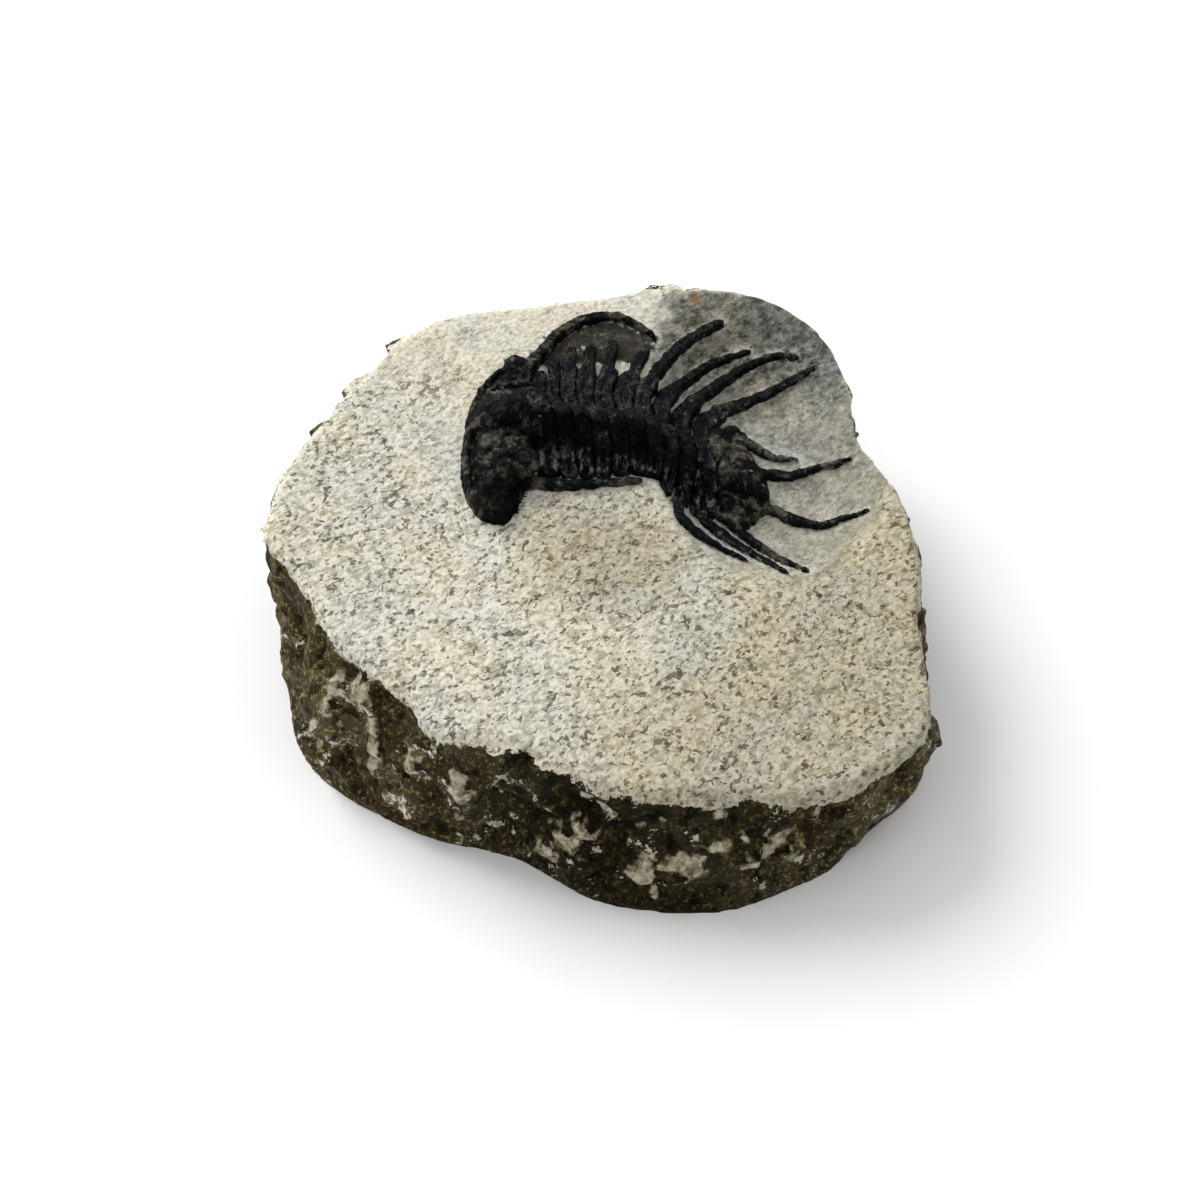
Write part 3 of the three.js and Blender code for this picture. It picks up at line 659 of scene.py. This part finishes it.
def sweep(form, stations, sides, dress=None):
    """A closed bar through stations: a ball whose rows of points are moved to them one by one."""
    rows = len(stations) + 1
    sheen_and_shade = form.verts.layers.float.get("sheen_and_shade") or form.verts.layers.float.new("sheen_and_shade")
    ball = bmesh.ops.create_uvsphere(form, u_segments=sides, v_segments=rows, radius=1)
    for v in ball["verts"]:
        row = round(math.acos(max(-1.0, min(1.0, v.co.z))) / math.pi * rows)
        station = stations[min(max(row, 1), rows - 1) - 1]
        turn = math.atan2(v.co.y, v.co.x)
        end = row in (0, rows)
        share = 0 if end else 1 - 2 * abs(turn) / math.pi
        rounding = station["rounding"]
        lift = 0 if end else (1 - abs(share) ** rounding) ** (1 / rounding)
        v.co = (station["at"] + station["across"] * share * station["half"]).to_3d()
        if turn < 0:
            v.co.z = lerp(station["shoulder"], station["root"], lift)
        else:
            relief, v[sheen_and_shade] = dress(station, share) if dress else (0, 0)
            v.co.z = lerp(station["shoulder"], station["crest"] + relief, lift)
    bmesh.ops.recalc_face_normals(form, faces=list({face for v in ball["verts"] for face in v.link_faces}))


def spine_stations(path, start, end, base, tip):
    """Stations of a spine along part of a path on the stone: base and tip are half width and relief there."""
    count = max(2, round((end - start) / RING_STEP))
    stations = []
    for step in range(count + 1):
        share = step / count
        distance = lerp(start, end, share)
        point, direction = point_at(path, distance)
        across = Vector((-direction.y, direction.x))
        knock = noise.noise_vector(point / SPINE_KNOCKS["size"])
        point += across.to_3d() * SPINE_KNOCKS["wander"] * knock.x
        ground = stone_height(point.x, point.y)
        near_tip = max(0.0, 1 - (path["length"] - distance) / TIP_ROUNDING)
        round_off = max(TIP_LEAST, math.sqrt(max(0.0, 1 - near_tip**2)))
        relief = lerp(base[1], tip[1], share) * lerp(TIP_LOWERING, 1, round_off)
        stations.append({
            "at": point.xy,
            "across": across,
            "half": lerp(base[0], tip[0], share) * round_off * (1 + SPINE_KNOCKS["width"] * knock.y),
            "root": ground - BED_DEPTH,
            "shoulder": ground + SHOULDER_SHARE * relief,
            "crest": ground + relief,
            "rounding": SPINE_ROUNDING,
            "offset": None,
        })
    return stations


def ring_stations(order):
    """Stations of a ring from its far tip over the middle lobe to its near tip."""

    def body_station(side, share):
        front = joint_point(order, side, share)
        back = joint_point(order + 1, side, share)
        at = front.lerp(back, 0.5)
        ground = stone_height(*at)
        width = ribs[order][side]["edge"]
        offset = share * width
        lobe = LOBE_SHARE * min(1.0, offset / LOBE_HALF_WIDTH) ** LOBE_POWER
        flank = (1 - LOBE_SHARE) * max(0.0, offset - LOBE_HALF_WIDTH) / (width - LOBE_HALF_WIDTH)
        crest = lerp(crest_points[order].z, ground + EDGE_RELIEF, lobe + flank)
        dip = (offset - LOBE_HALF_WIDTH) / LOBE_FURROW["width"]
        crest -= LOBE_FURROW["depth"] * math.exp(-dip * dip)
        on_flank = smoothstep(*LOBE_EDGE, offset)
        groove = lerp(LOBE_GROOVE, FLANK_GROOVE[side], on_flank)
        half = 0.5 * ((back - front).length - RING_GAP)
        if side == "far":
            half = lerp(half, min(half, BAR_HALF_WIDTH), smoothstep(*BAR_START, share))
        return {
            "at": at,
            "across": (back - front).normalized(),
            "half": half,
            "root": ground - BED_DEPTH,
            "shoulder": max(crest - groove, ground + SHOULDER_SHARE * EDGE_RELIEF),
            "crest": crest,
            "rounding": lerp(LOBE_ROUNDING, FLANK_ROUNDING, on_flank),
            "furrow": on_flank * PLEURAL_FURROW[side] * (1 - smoothstep(*FURROW_END[side], share)),
            "offset": offset if side == "far" else -offset,
            "order": order,
        }

    def side_stations(side):
        path = ribs[order][side]
        steps = round(path["edge"] / RING_STEP)
        body = [body_station(side, step / steps) for step in range(steps + 1)]
        if path["length"] > path["edge"]:
            far_tip = BLUNT_TIP if order < BLUNT_RINGS else FAR_TIP
            tip = far_tip if side == "far" else NEAR_TIP
            spine = spine_stations(path, path["edge"], path["length"], SPINE_BASE[side], tip)[1:]
        else:
            stub = (STUB_HALF_WIDTH, EDGE_RELIEF)
            spine = spine_stations(path, path["edge"], path["edge"] + STUB_LENGTH, stub, stub)[1:]
        for station in spine:
            station["across"] *= -1 if side == "far" else 1
            narrowed = smoothstep(0, SPINE_SHOULDER, (station["at"] - body[-1]["at"]).length)
            station["half"] = lerp(body[-1]["half"], station["half"], narrowed)
        return body + spine

    return side_stations("far")[::-1] + side_stations("near")[1:]


def ring_relief(station, share):
    """Height that knobs and furrow add to a ring at a share of its width, and its painted light there:
    painted highlight on the flank bars, painted shade on the near side of the middle lobe.
    """
    offset = station["offset"]
    if offset is None:
        return 0, 0
    relief = 0
    for knob_offset, height, size in RING_KNOBS:
        reach = math.hypot(offset - knob_offset, share * station["half"]) / size
        relief += height * math.exp(-reach * reach)
    flank = smoothstep(*LOBE_EDGE, abs(offset))
    furrow = share / PLEURAL_FURROW["width"]
    bar = (abs(share) - BAR["at"]) / BAR["width"]
    # Painted highlight on the flank bars, less painted shade on the near side of the middle lobe.
    sheen_and_shade = flank * BAR_HIGHLIGHT["far" if offset > 0 else "near"] * math.exp(-bar * bar)
    place_on = station["at"] + station["across"] * share * station["half"]
    below = -offset + LOBE_SHADE["wander"] * noise.noise(place_on.to_3d() / LOBE_SHADE["size"])
    shade = smoothstep(*LOBE_SHADE["from"], below) * (1 - smoothstep(*LOBE_SHADE["to"], below))
    sheen_and_shade -= shade * (1 - smoothstep(*LOBE_SHADE["fades"], station["order"]))
    return relief - station["furrow"] * math.exp(-furrow * furrow), sheen_and_shade


def weathered(form):
    """The fine lumps and knocks of the shell, each kind with a size and a height."""
    form.normal_update()
    for v in form.verts:
        v.co += v.normal * sum(height * noise.noise(v.co / size) for size, height in SHELL_LUMPS)
    form.normal_update()


def shell_marks(form, shaded=()):
    """How near each point of the shell is to the stone, and its painted light: a painted highlight where it
    stands out, under 0 for painted shade.
    """
    marks = {"low": [], "painted_light": []}
    sheen_and_shade = form.verts.layers.float.get("sheen_and_shade")
    evened = form.copy()
    smoothed(evened, HIGHLIGHT_SPREAD)
    for v, even in zip(form.verts, evened.verts):
        marks["low"].append(1 - smoothstep(0, DUST_HEIGHT, v.co.z - stone_height(v.co.x, v.co.y)))
        # Painted highlight on what stands out from the smoothed copy; painted shade where a shade circle or
        # the ring layer asks for it.
        painted_light = smoothstep(*HIGHLIGHT_SWELL, (v.co - even.co).dot(v.normal))
        given = v[sheen_and_shade] if sheen_and_shade else 0
        for centre, half in shaded:
            reach = (v.co.xy - Vector(centre)).length / half
            given = min(given, smoothstep(*SHADE_FADE, reach) - 1)
        marks["painted_light"].append(max(painted_light, given) if given >= 0 else painted_light * (1 + given) + given)
    evened.free()
    return marks


# Shell: black, with a painted highlight of bluish grey on what stands out and painted shade in black where
# the light does not reach, with brown remains, fine scratches of the cleaning and stone dust at its foot.
# Rings, head and tail differ in how brown they are.
shell = new_group(
    "shell",
    {
        "Position": "Vector", "Black": "Color", "Brown": "Color", "Brown From": "Float",
        "Low": "Float", "Painted Light": "Float",
    },
    {"Colour": "Color", "Roughness": "Float", "Height": "Float"},
)
tree = shell
shell_in = tree.nodes.new("NodeGroupInput").outputs
position = shell_in["Position"]
ribwise = add_node(tree, "ShaderNodeMapping", {"Vector": position, "Scale": (1, 0.4, 0.7)}).outputs["Vector"]
cloud = noise_value(tree, position, 3.0, 4.0, 0.6)
fine = noise_value(tree, position, 0.8, 4.0, 0.65)
streak = noise_value(tree, ribwise, 0.9, 3.0, 0.6)
# Painted highlight in bluish grey on what stands out, and painted shade in black below 0.
painted_light = stepped(tree, shell_in["Painted Light"], 0.0, 1.0, 0.02, 1.0)
shade = stepped(tree, shell_in["Painted Light"], -1.0, 0.0, 1.0, 0.0)
blue_highlight = combined(tree, "MULTIPLY", painted_light, stepped(tree, streak, 0.49, 0.6))
blue_highlight = combined(tree, "MULTIPLY", blue_highlight, stepped(tree, fine, 0.42, 0.56, 0.2, 1.0))
body = blended(tree, blue_highlight, shell_in["Black"], seen(HIGHLIGHT_BLUE))
brown_above = combined(tree, "SUBTRACT", cloud, shell_in["Brown From"])
brown = stepped(tree, brown_above, 0.0, 0.12, 0.0, 0.9)
brown = combined(tree, "MULTIPLY", brown, stepped(tree, fine, 0.36, 0.6, 0.15, 1.0))
body = blended(tree, brown, body, shell_in["Brown"])
hair = combined(tree, "SUBTRACT", noise_value(tree, position, 2.0, 3.0, 0.5, 1.0), 0.5)
hair = stepped(tree, combined(tree, "ABSOLUTE", hair, 0.0), 0.004, 0.012, 0.6, 0.0)
hair = combined(tree, "MULTIPLY", hair, stepped(tree, cloud, 0.47, 0.54))
body = blended(tree, hair, body, seen(SCRAPED_GREY))
body = blended(tree, combined(tree, "MULTIPLY", shade, 0.9), body, seen(SHADE_BLACK))
grain = add_node(tree, "ShaderNodeGroup", {"Position": position, "Flecks": 1.0}, node_tree=limestone_grain)
edge = stepped(tree, noise_value(tree, position, 1.4, 3.0), 0.35, 0.65, -0.3, 0.3)
dust = stepped(tree, combined(tree, "ADD", shell_in["Low"], edge), 0.9, 1.1, 0.0, 0.7)
shell_out = tree.nodes.new("NodeGroupOutput")
tree.links.new(blended(tree, dust, body, grain.outputs["Colour"]), shell_out.inputs["Colour"])
rough = stepped(tree, fine, 0.38, 0.62, 0.34, 0.6)
rough = combined(tree, "MAXIMUM", rough, shade)
tree.links.new(combined(tree, "MAXIMUM", rough, dust), shell_out.inputs["Roughness"])
height = combined(tree, "ADD", fine, noise_value(tree, position, 0.3, 2.0))
tree.links.new(height, shell_out.inputs["Height"])


def shell_finish(name, black, brown, brown_from):
    """A material of shell, with its own black and brown and the level of a slow noise where brown begins."""
    material, tree, position, shader = new_material(name)
    tones = {"Position": position, "Black": seen(black), "Brown": seen(brown), "Brown From": brown_from}
    tones |= {"Low": point_value(tree, "low"), "Painted Light": point_value(tree, "painted_light")}
    surface = add_node(tree, "ShaderNodeGroup", tones, node_tree=shell)
    tree.links.new(surface.outputs["Colour"], shader.inputs["Base Color"])
    tree.links.new(surface.outputs["Roughness"], shader.inputs["Roughness"])
    shader.inputs["Specular IOR Level"].default_value = SHELL_GLOSS
    bump = {"Height": surface.outputs["Height"], "Strength": 0.8, "Distance": 0.3 * MM}
    relief = add_node(tree, "ShaderNodeBump", bump)
    tree.links.new(relief.outputs["Normal"], shader.inputs["Normal"])
    return material


ring_black = shell_finish("ring_shell", **RING_SHELL)
for order in range(len(RINGS)):
    number = f"{order + 1:02d}"
    form = bmesh.new()
    sweep(form, ring_stations(order), RING_SIDES, ring_relief)
    weathered(form)
    ring = place(form, f"ring_{number}", ring_black, shell_marks(form))
    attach(ring, "root")
    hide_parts(f"thorax_segment_{number}")

# The head shield: a broad crescent with a raised border, a swollen middle lobe, two eyes on stalks of shell
# and a long spine at each rear corner. It is one plate, bent down over the stone at the near side.
FORM_VOXEL = 0.32
FORM_SMOOTHING = 2
SHELL_VOXEL = 0.17
HEAD = {
    "x": -13.0, "y": 16.2, "front": 8.8, "rear": 3.4, "near": 15.8, "far": 16.0,
    "rim": 2.4, "rise": 4.6, "lean": -0.15, "taper": 1.0,
}
HEAD_SHELL = {"black": (6, 6, 6), "brown": (104, 101, 90), "brown_from": 0.5}
HEAD_BORDER = {"at": 0.95, "width": 0.6, "height": 0.45}
HEAD_FURROW = {"at": 2.2, "width": 0.5, "depth": 1.5}
HEAD_LOBES = [
    ((-14.6, 19.4, 33.2), (5.8, 5.0, 5.0)),
    ((-11.2, 16.2, 34.0), (2.1, 1.9, 2.6)),
    ((-11.2, 22.8, 34.2), (2.1, 2.4, 2.6)),
    ((-9.2, 18.9, 34.4), (1.5, 4.6, 2.6)),
    ((-13.4, 10.4, 31.4), (3.4, 3.3, 3.6)),
    ((-13.6, 27.6, 32.2), (3.4, 3.0, 2.8)),
    ((-13.2, 29.8, 32.8), (2.9, 2.7, 2.4)),
    ((-16.4, 4.8, 30.0), (3.5, 4.0, 3.0)),
]
FAR_GENAL_SPINE = [(-12.0, 31.0), (-6.6, 39.6), (-1.4, 43.7), (3.4, 44.4), (7.4, 42.7), (10.2, 40.4)]
NEAR_GENAL_SPINE = [
    (-12.6, 8.6), (-10.1, 8.4), (-6.3, 8.2), (-2.2, 8.5), (2.2, 9.2), (5.2, 9.7), (7.6, 10.0),
]
FAR_GENAL = ((1.2, 2.1), (0.7, 0.9))
NEAR_GENAL = ((1.05, 2.2), (0.55, 1.0))
HEAD_SHADE = [
    ((-15.2, 4.2), 4.4),
    ((-13.4, 6.6), 2.4),
    ((-16.0, 15.5), 0.5),
    ((-15.4, 15.6), 0.5),
    ((-14.8, 15.7), 0.5),
    ((-14.2, 15.8), 0.5),
    ((-13.6, 15.8), 0.5),
    ((-13.0, 15.8), 0.5),
    ((-12.4, 15.8), 0.5),
]
COMB = {
    "start": (-12.8, 2.8), "end": (-11.6, 6.6), "count": 7,
    "radius": 0.28, "tip": 0.05, "length": 1.0, "lift": 0.4,
}
EYES = [((-13.4, 30.0, 34.6), (2.2, 2.0, 2.2)), ((-10.9, 9.4, 33.6), (1.7, 2.0, 1.9))]
LENS_RADIUS = 0.24
LENS_ROWS = 4
LENS_RISE = {"first": 8.0, "step": 14.0}
LENSES_IN_ROW = 16
HEAD_TUBERCLES = {"count": 150, "seed": 3, "low": (-21.5, 1.0), "high": (-9.0, 32.0)}
TUBERCLE_RADII = (0.18, 0.34)
SHIELD_SEGMENTS = (160, 90)
SHIELD_RIM_POWER = 8
BALL_SEGMENTS = (40, 24)

# Furrows cut into the head: the plan points each runs through, its half width and its depth.
HEAD_FURROWS = [
    ([(-16.3, 15.5), (-14.4, 15.8), (-12.2, 15.8)], 0.28, 1.5),
    ([(-15.2, 10.2), (-13.4, 9.6), (-12.3, 9.2)], 0.45, 0.9),
    ([(-15.6, 7.6), (-13.2, 7.2), (-11.6, 7.2)], 0.4, 0.7),
    ([(-18.0, 23.2), (-15.6, 25.0), (-12.6, 25.6), (-10.0, 25.4)], 0.45, 1.0),
    ([(-10.6, 15.6), (-10.3, 19.0), (-10.7, 23.4)], 0.35, 0.7),
    ([(-13.4, 16.0), (-12.6, 17.6), (-11.8, 18.2)], 0.35, 0.6),
    ([(-13.6, 23.0), (-12.8, 21.4), (-12.0, 20.6)], 0.35, 0.6),
    ([(-16.0, 27.4), (-13.4, 27.0), (-10.8, 28.0)], 0.35, 0.6),
    ([(-17.6, 11.4), (-16.6, 13.2)], 0.4, 0.7),
]


def ball(form, centre, radii):
    shape = Matrix.Translation(centre) @ Matrix.Diagonal((*radii, 1))
    columns, rows = BALL_SEGMENTS
    bmesh.ops.create_uvsphere(form, u_segments=columns, v_segments=rows, radius=1, matrix=shape)


def shield(form, shape, border, furrow):
    """A cap over the stone with a raised border and a furrow inside it, its near half leaning along it."""
    columns, rows = SHIELD_SEGMENTS
    middle = Vector((shape["x"], shape["y"]))
    cap = bmesh.ops.create_uvsphere(form, u_segments=columns, v_segments=rows, radius=1)
    for v in cap["verts"]:
        under = v.co.z < -1e-4
        reach = min(1.0, v.co.xy.length)
        turn = v.co.xy / reach if reach > 0 else Vector((1, 0))
        taper = 1 if turn.x < 0 else shape["taper"]
        rim_x = abs(turn.x) ** taper * (-shape["front"] if turn.x < 0 else shape["rear"])
        rim_y = abs(turn.y) ** taper * (-shape["near"] if turn.y < 0 else shape["far"])
        rim_x += -rim_y * shape["lean"] if turn.y < 0 else 0
        rim = Vector((rim_x, rim_y))
        at = middle + reach * rim
        inside = (1 - reach) * rim.length
        height = shape["rim"] * math.sqrt(1 - reach**SHIELD_RIM_POWER)
        height += (shape["rise"] - shape["rim"]) * (1 - reach**2)
        height += border["height"] * math.exp(-(((inside - border["at"]) / border["width"]) ** 2))
        height -= furrow["depth"] * math.exp(-(((inside - furrow["at"]) / furrow["width"]) ** 2))
        ground = stone_height(*at)
        v.co = (*at, ground - BED_DEPTH if under else ground + max(0.0, height))


def furrowed(form, furrows):
    """Furrows pressed into the upper side of a form."""
    for points, width, depth in furrows:
        line = [point.xy for point in smooth_line(points)]
        low = Vector((min(point.x for point in line), min(point.y for point in line)))
        high = Vector((max(point.x for point in line), max(point.y for point in line)))
        middle, span = (low + high) / 2, (high - low).length / 2 + 3 * width
        for v in form.verts:
            if v.normal.z > 0 and (v.co.xy - middle).length < span:
                away = min((v.co.xy - point).length for point in line) / width
                v.co.z -= depth * math.exp(-away * away)
    form.normal_update()


def tubercles(form, count, seed, low, high):
    """Small round grains on the upper side of a shell, over the plan from low to high."""
    chance = random.Random(seed)
    tree = BVHTree.FromBMesh(form)
    for _ in range(count):
        x = chance.uniform(low[0], high[0])
        y = chance.uniform(low[1], high[1])
        radius = chance.uniform(*TUBERCLE_RADII)
        touched = tree.ray_cast(Vector((x, y, 2 * PLATE_HEIGHT)), Vector((0, 0, -1)))[0]
        if touched and touched.z > stone_height(x, y) + EDGE_RELIEF:
            at = Matrix.Translation(touched)
            bmesh.ops.create_icosphere(form, subdivisions=2, radius=radius, matrix=at)


head = bmesh.new()
shield(head, HEAD, HEAD_BORDER, HEAD_FURROW)
for centre, radii in HEAD_LOBES + EYES:
    ball(head, centre, radii)
for line, (base, tip) in ((FAR_GENAL_SPINE, FAR_GENAL), (NEAR_GENAL_SPINE, NEAR_GENAL)):
    path = measured(line)
    sweep(head, spine_stations(path, 0, path["length"], base, tip), SPINE_SIDES)
head = remeshed(head, FORM_VOXEL)
smoothed(head, FORM_SMOOTHING)
furrowed(head, HEAD_FURROWS)
tubercles(head, **HEAD_TUBERCLES)
for centre, radii in EYES:
    for row in range(LENS_ROWS):
        rise = math.radians(LENS_RISE["first"] + LENS_RISE["step"] * row)
        for turn in range(LENSES_IN_ROW):
            angle = 2 * math.pi * (turn + 0.5 * (row % 2)) / LENSES_IN_ROW
            level = math.cos(rise)
            out = Vector((math.cos(angle) * level, math.sin(angle) * level, math.sin(rise)))
            lens = Matrix.Translation(Vector(centre) + out * Vector(radii))
            bmesh.ops.create_icosphere(head, subdivisions=2, radius=LENS_RADIUS, matrix=lens)
for tooth in range(COMB["count"]):
    at = Vector(COMB["start"]).lerp(Vector(COMB["end"]), tooth / (COMB["count"] - 1)).to_3d()
    at.z = stone_height(at.x, at.y) + COMB["lift"]
    spike = Matrix.Translation(at) @ Matrix.Rotation(math.radians(90), 4, "Y")
    spike_size = {"radius1": COMB["radius"], "radius2": COMB["tip"], "depth": 2 * COMB["length"]}
    bmesh.ops.create_cone(head, cap_ends=True, segments=10, matrix=spike, **spike_size)
head = remeshed(head, SHELL_VOXEL)
smoothed(head, 1)
weathered(head)
head_black = shell_finish("head_shell", **HEAD_SHELL)
head_shield = place(head, "head_shield", head_black, shell_marks(head, HEAD_SHADE))
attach(head_shield, "root")
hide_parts("cephalon")

# The tail shield: a small plate with a ringed axis and ribs that run out into four long spines.
# It dips into the worked hollow, and its spines lie on the floor of it.
TAIL = {
    "x": 22.6, "y": 13.2, "front": 5.5, "rear": 6.0, "near": 8.8, "far": 11.6,
    "rim": 1.5, "rise": 3.4, "lean": 0.08, "taper": 1.5,
}
TAIL_SHELL = {"black": (8, 8, 8), "brown": (116, 112, 98), "brown_from": 0.485}
TAIL_BORDER = {"at": 0.6, "width": 0.5, "height": 0.15}
TAIL_FURROW = {"at": 1.5, "width": 0.5, "depth": 0.25}
TAIL_AXIS = [
    ((20.0, 21.2, 25.8), (1.9, 3.4, 1.9)),
    ((20.6, 13.6, 26.6), (1.3, 3.0, 3.0)),
    ((22.4, 12.9, 25.9), (1.3, 2.8, 2.9)),
    ((24.1, 12.2, 25.1), (1.3, 2.5, 2.7)),
    ((25.8, 11.6, 24.4), (1.3, 2.1, 2.3)),
    ((27.2, 11.1, 23.9), (1.2, 1.6, 1.9)),
]
TAIL_RIBS = [
    [(20.8, 15.4), (20.9, 21.6), (22.6, 24.9), (26.1, 22.5), (29.6, 20.4), (34.0, 20.3)],
    [(23.0, 13.6), (25.4, 16.4), (28.0, 16.6), (32.3, 16.7), (36.0, 18.1), (42.7, 19.9)],
    [(24.0, 12.0), (26.0, 10.0), (29.1, 9.2), (31.9, 7.9), (36.0, 6.4), (39.4, 7.1), (44.6, 7.8)],
    [(21.8, 11.6), (20.6, 8.4), (22.4, 5.0), (25.9, 1.8), (28.5, -0.7), (33.7, -5.5)],
]
TAIL_RIB_ROOT = (1.0, 1.9)
TAIL_SPINE_BASE = (0.95, EDGE_RELIEF)
TAIL_TIP = (0.45, 0.75)
TAIL_TUBERCLES = {"count": 60, "seed": 8, "low": (21.0, 3.0), "high": (30.0, 22.0)}

# Furrows between the ribs of the tail, given as those of the head are.
TAIL_FURROWS = [
    ([(22.0, 16.6), (23.2, 19.6), (25.2, 20.4)], 0.4, 0.7),
    ([(24.6, 14.6), (26.6, 15.0), (28.0, 14.4)], 0.35, 0.5),
    ([(23.4, 10.4), (24.4, 8.6), (26.4, 8.0)], 0.35, 0.6),
    ([(21.4, 10.6), (20.8, 9.6), (20.4, 7.6)], 0.35, 0.5),
]

tail = bmesh.new()
shield(tail, TAIL, TAIL_BORDER, TAIL_FURROW)
for centre, radii in TAIL_AXIS:
    ball(tail, centre, radii)
for points in TAIL_RIBS:
    path = measured(points)
    inside = spine_stations(path, 0, path["edge"], TAIL_RIB_ROOT, TAIL_SPINE_BASE)
    free = spine_stations(path, path["edge"], path["length"], TAIL_SPINE_BASE, TAIL_TIP)
    sweep(tail, inside + free[1:], SPINE_SIDES)
tail = remeshed(tail, FORM_VOXEL)
smoothed(tail, FORM_SMOOTHING)
furrowed(tail, TAIL_FURROWS)
tubercles(tail, **TAIL_TUBERCLES)
tail = remeshed(tail, SHELL_VOXEL)
smoothed(tail, 1)
weathered(tail)
tail_black = shell_finish("tail_shell", **TAIL_SHELL)
tail_shield = place(tail, "tail_shield", tail_black, shell_marks(tail))
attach(tail_shield, "root")
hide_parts("pygidium")

# The studio: a plain pale table under a broad soft light from above and a narrower one from the back left,
# with a little light from all round.
FLOOR_SIZE = 8.0
LIGHTS = {
    "above": {"from": (-0.15, 0.25, 1.0), "spread": 130.0, "strength": 1.84},
    "back_left": {"from": (-0.6, 0.6, 0.65), "spread": 35.0, "strength": 2.3},
}
SKY_STRENGTH = 0.18
TABLE_COLOUR = (0.93, 0.93, 0.93, 1)
CAMERA = {"target": (0.5, -6.2, 18.0), "distance": 322.0, "elevation": 50.0, "lens": 60.0, "sensor": 36.0}

table = bmesh.new()
bmesh.ops.create_grid(table, x_segments=1, y_segments=1, size=FLOOR_SIZE / 2 / MM)
table_white, tree, position, shader = new_material("table_white")
shader.inputs["Base Color"].default_value = TABLE_COLOUR
shader.inputs["Roughness"].default_value = 0.9
floor = place(table, "table", table_white, {})

for name, setting in LIGHTS.items():
    sun = bpy.data.lights.new(name, "SUN")
    sun.angle = math.radians(setting["spread"])
    sun.energy = setting["strength"]
    light = bpy.data.objects.new(name, sun)
    light.rotation_euler = (-Vector(setting["from"])).to_track_quat("-Z", "Y").to_euler()
    bpy.context.scene.collection.objects.link(light)

sky = bpy.data.worlds.new("sky")
sky.use_nodes = True
sky.node_tree.nodes["Background"].inputs["Color"].default_value = (1, 1, 1, 1)
sky.node_tree.nodes["Background"].inputs["Strength"].default_value = SKY_STRENGTH
bpy.context.scene.world = sky
bpy.context.scene.view_settings.view_transform = "Standard"

lens = bpy.data.cameras.new("camera")
lens.lens = CAMERA["lens"]
lens.sensor_width = CAMERA["sensor"]
camera = bpy.data.objects.new("camera", lens)
elevation = math.radians(CAMERA["elevation"])
back_off = Vector((0, -math.cos(elevation), math.sin(elevation))) * CAMERA["distance"]
camera.location = (Vector(CAMERA["target"]) + back_off) * MM
camera.rotation_euler = (math.radians(90) - elevation, 0, 0)
bpy.context.scene.collection.objects.link(camera)
bpy.context.scene.camera = camera
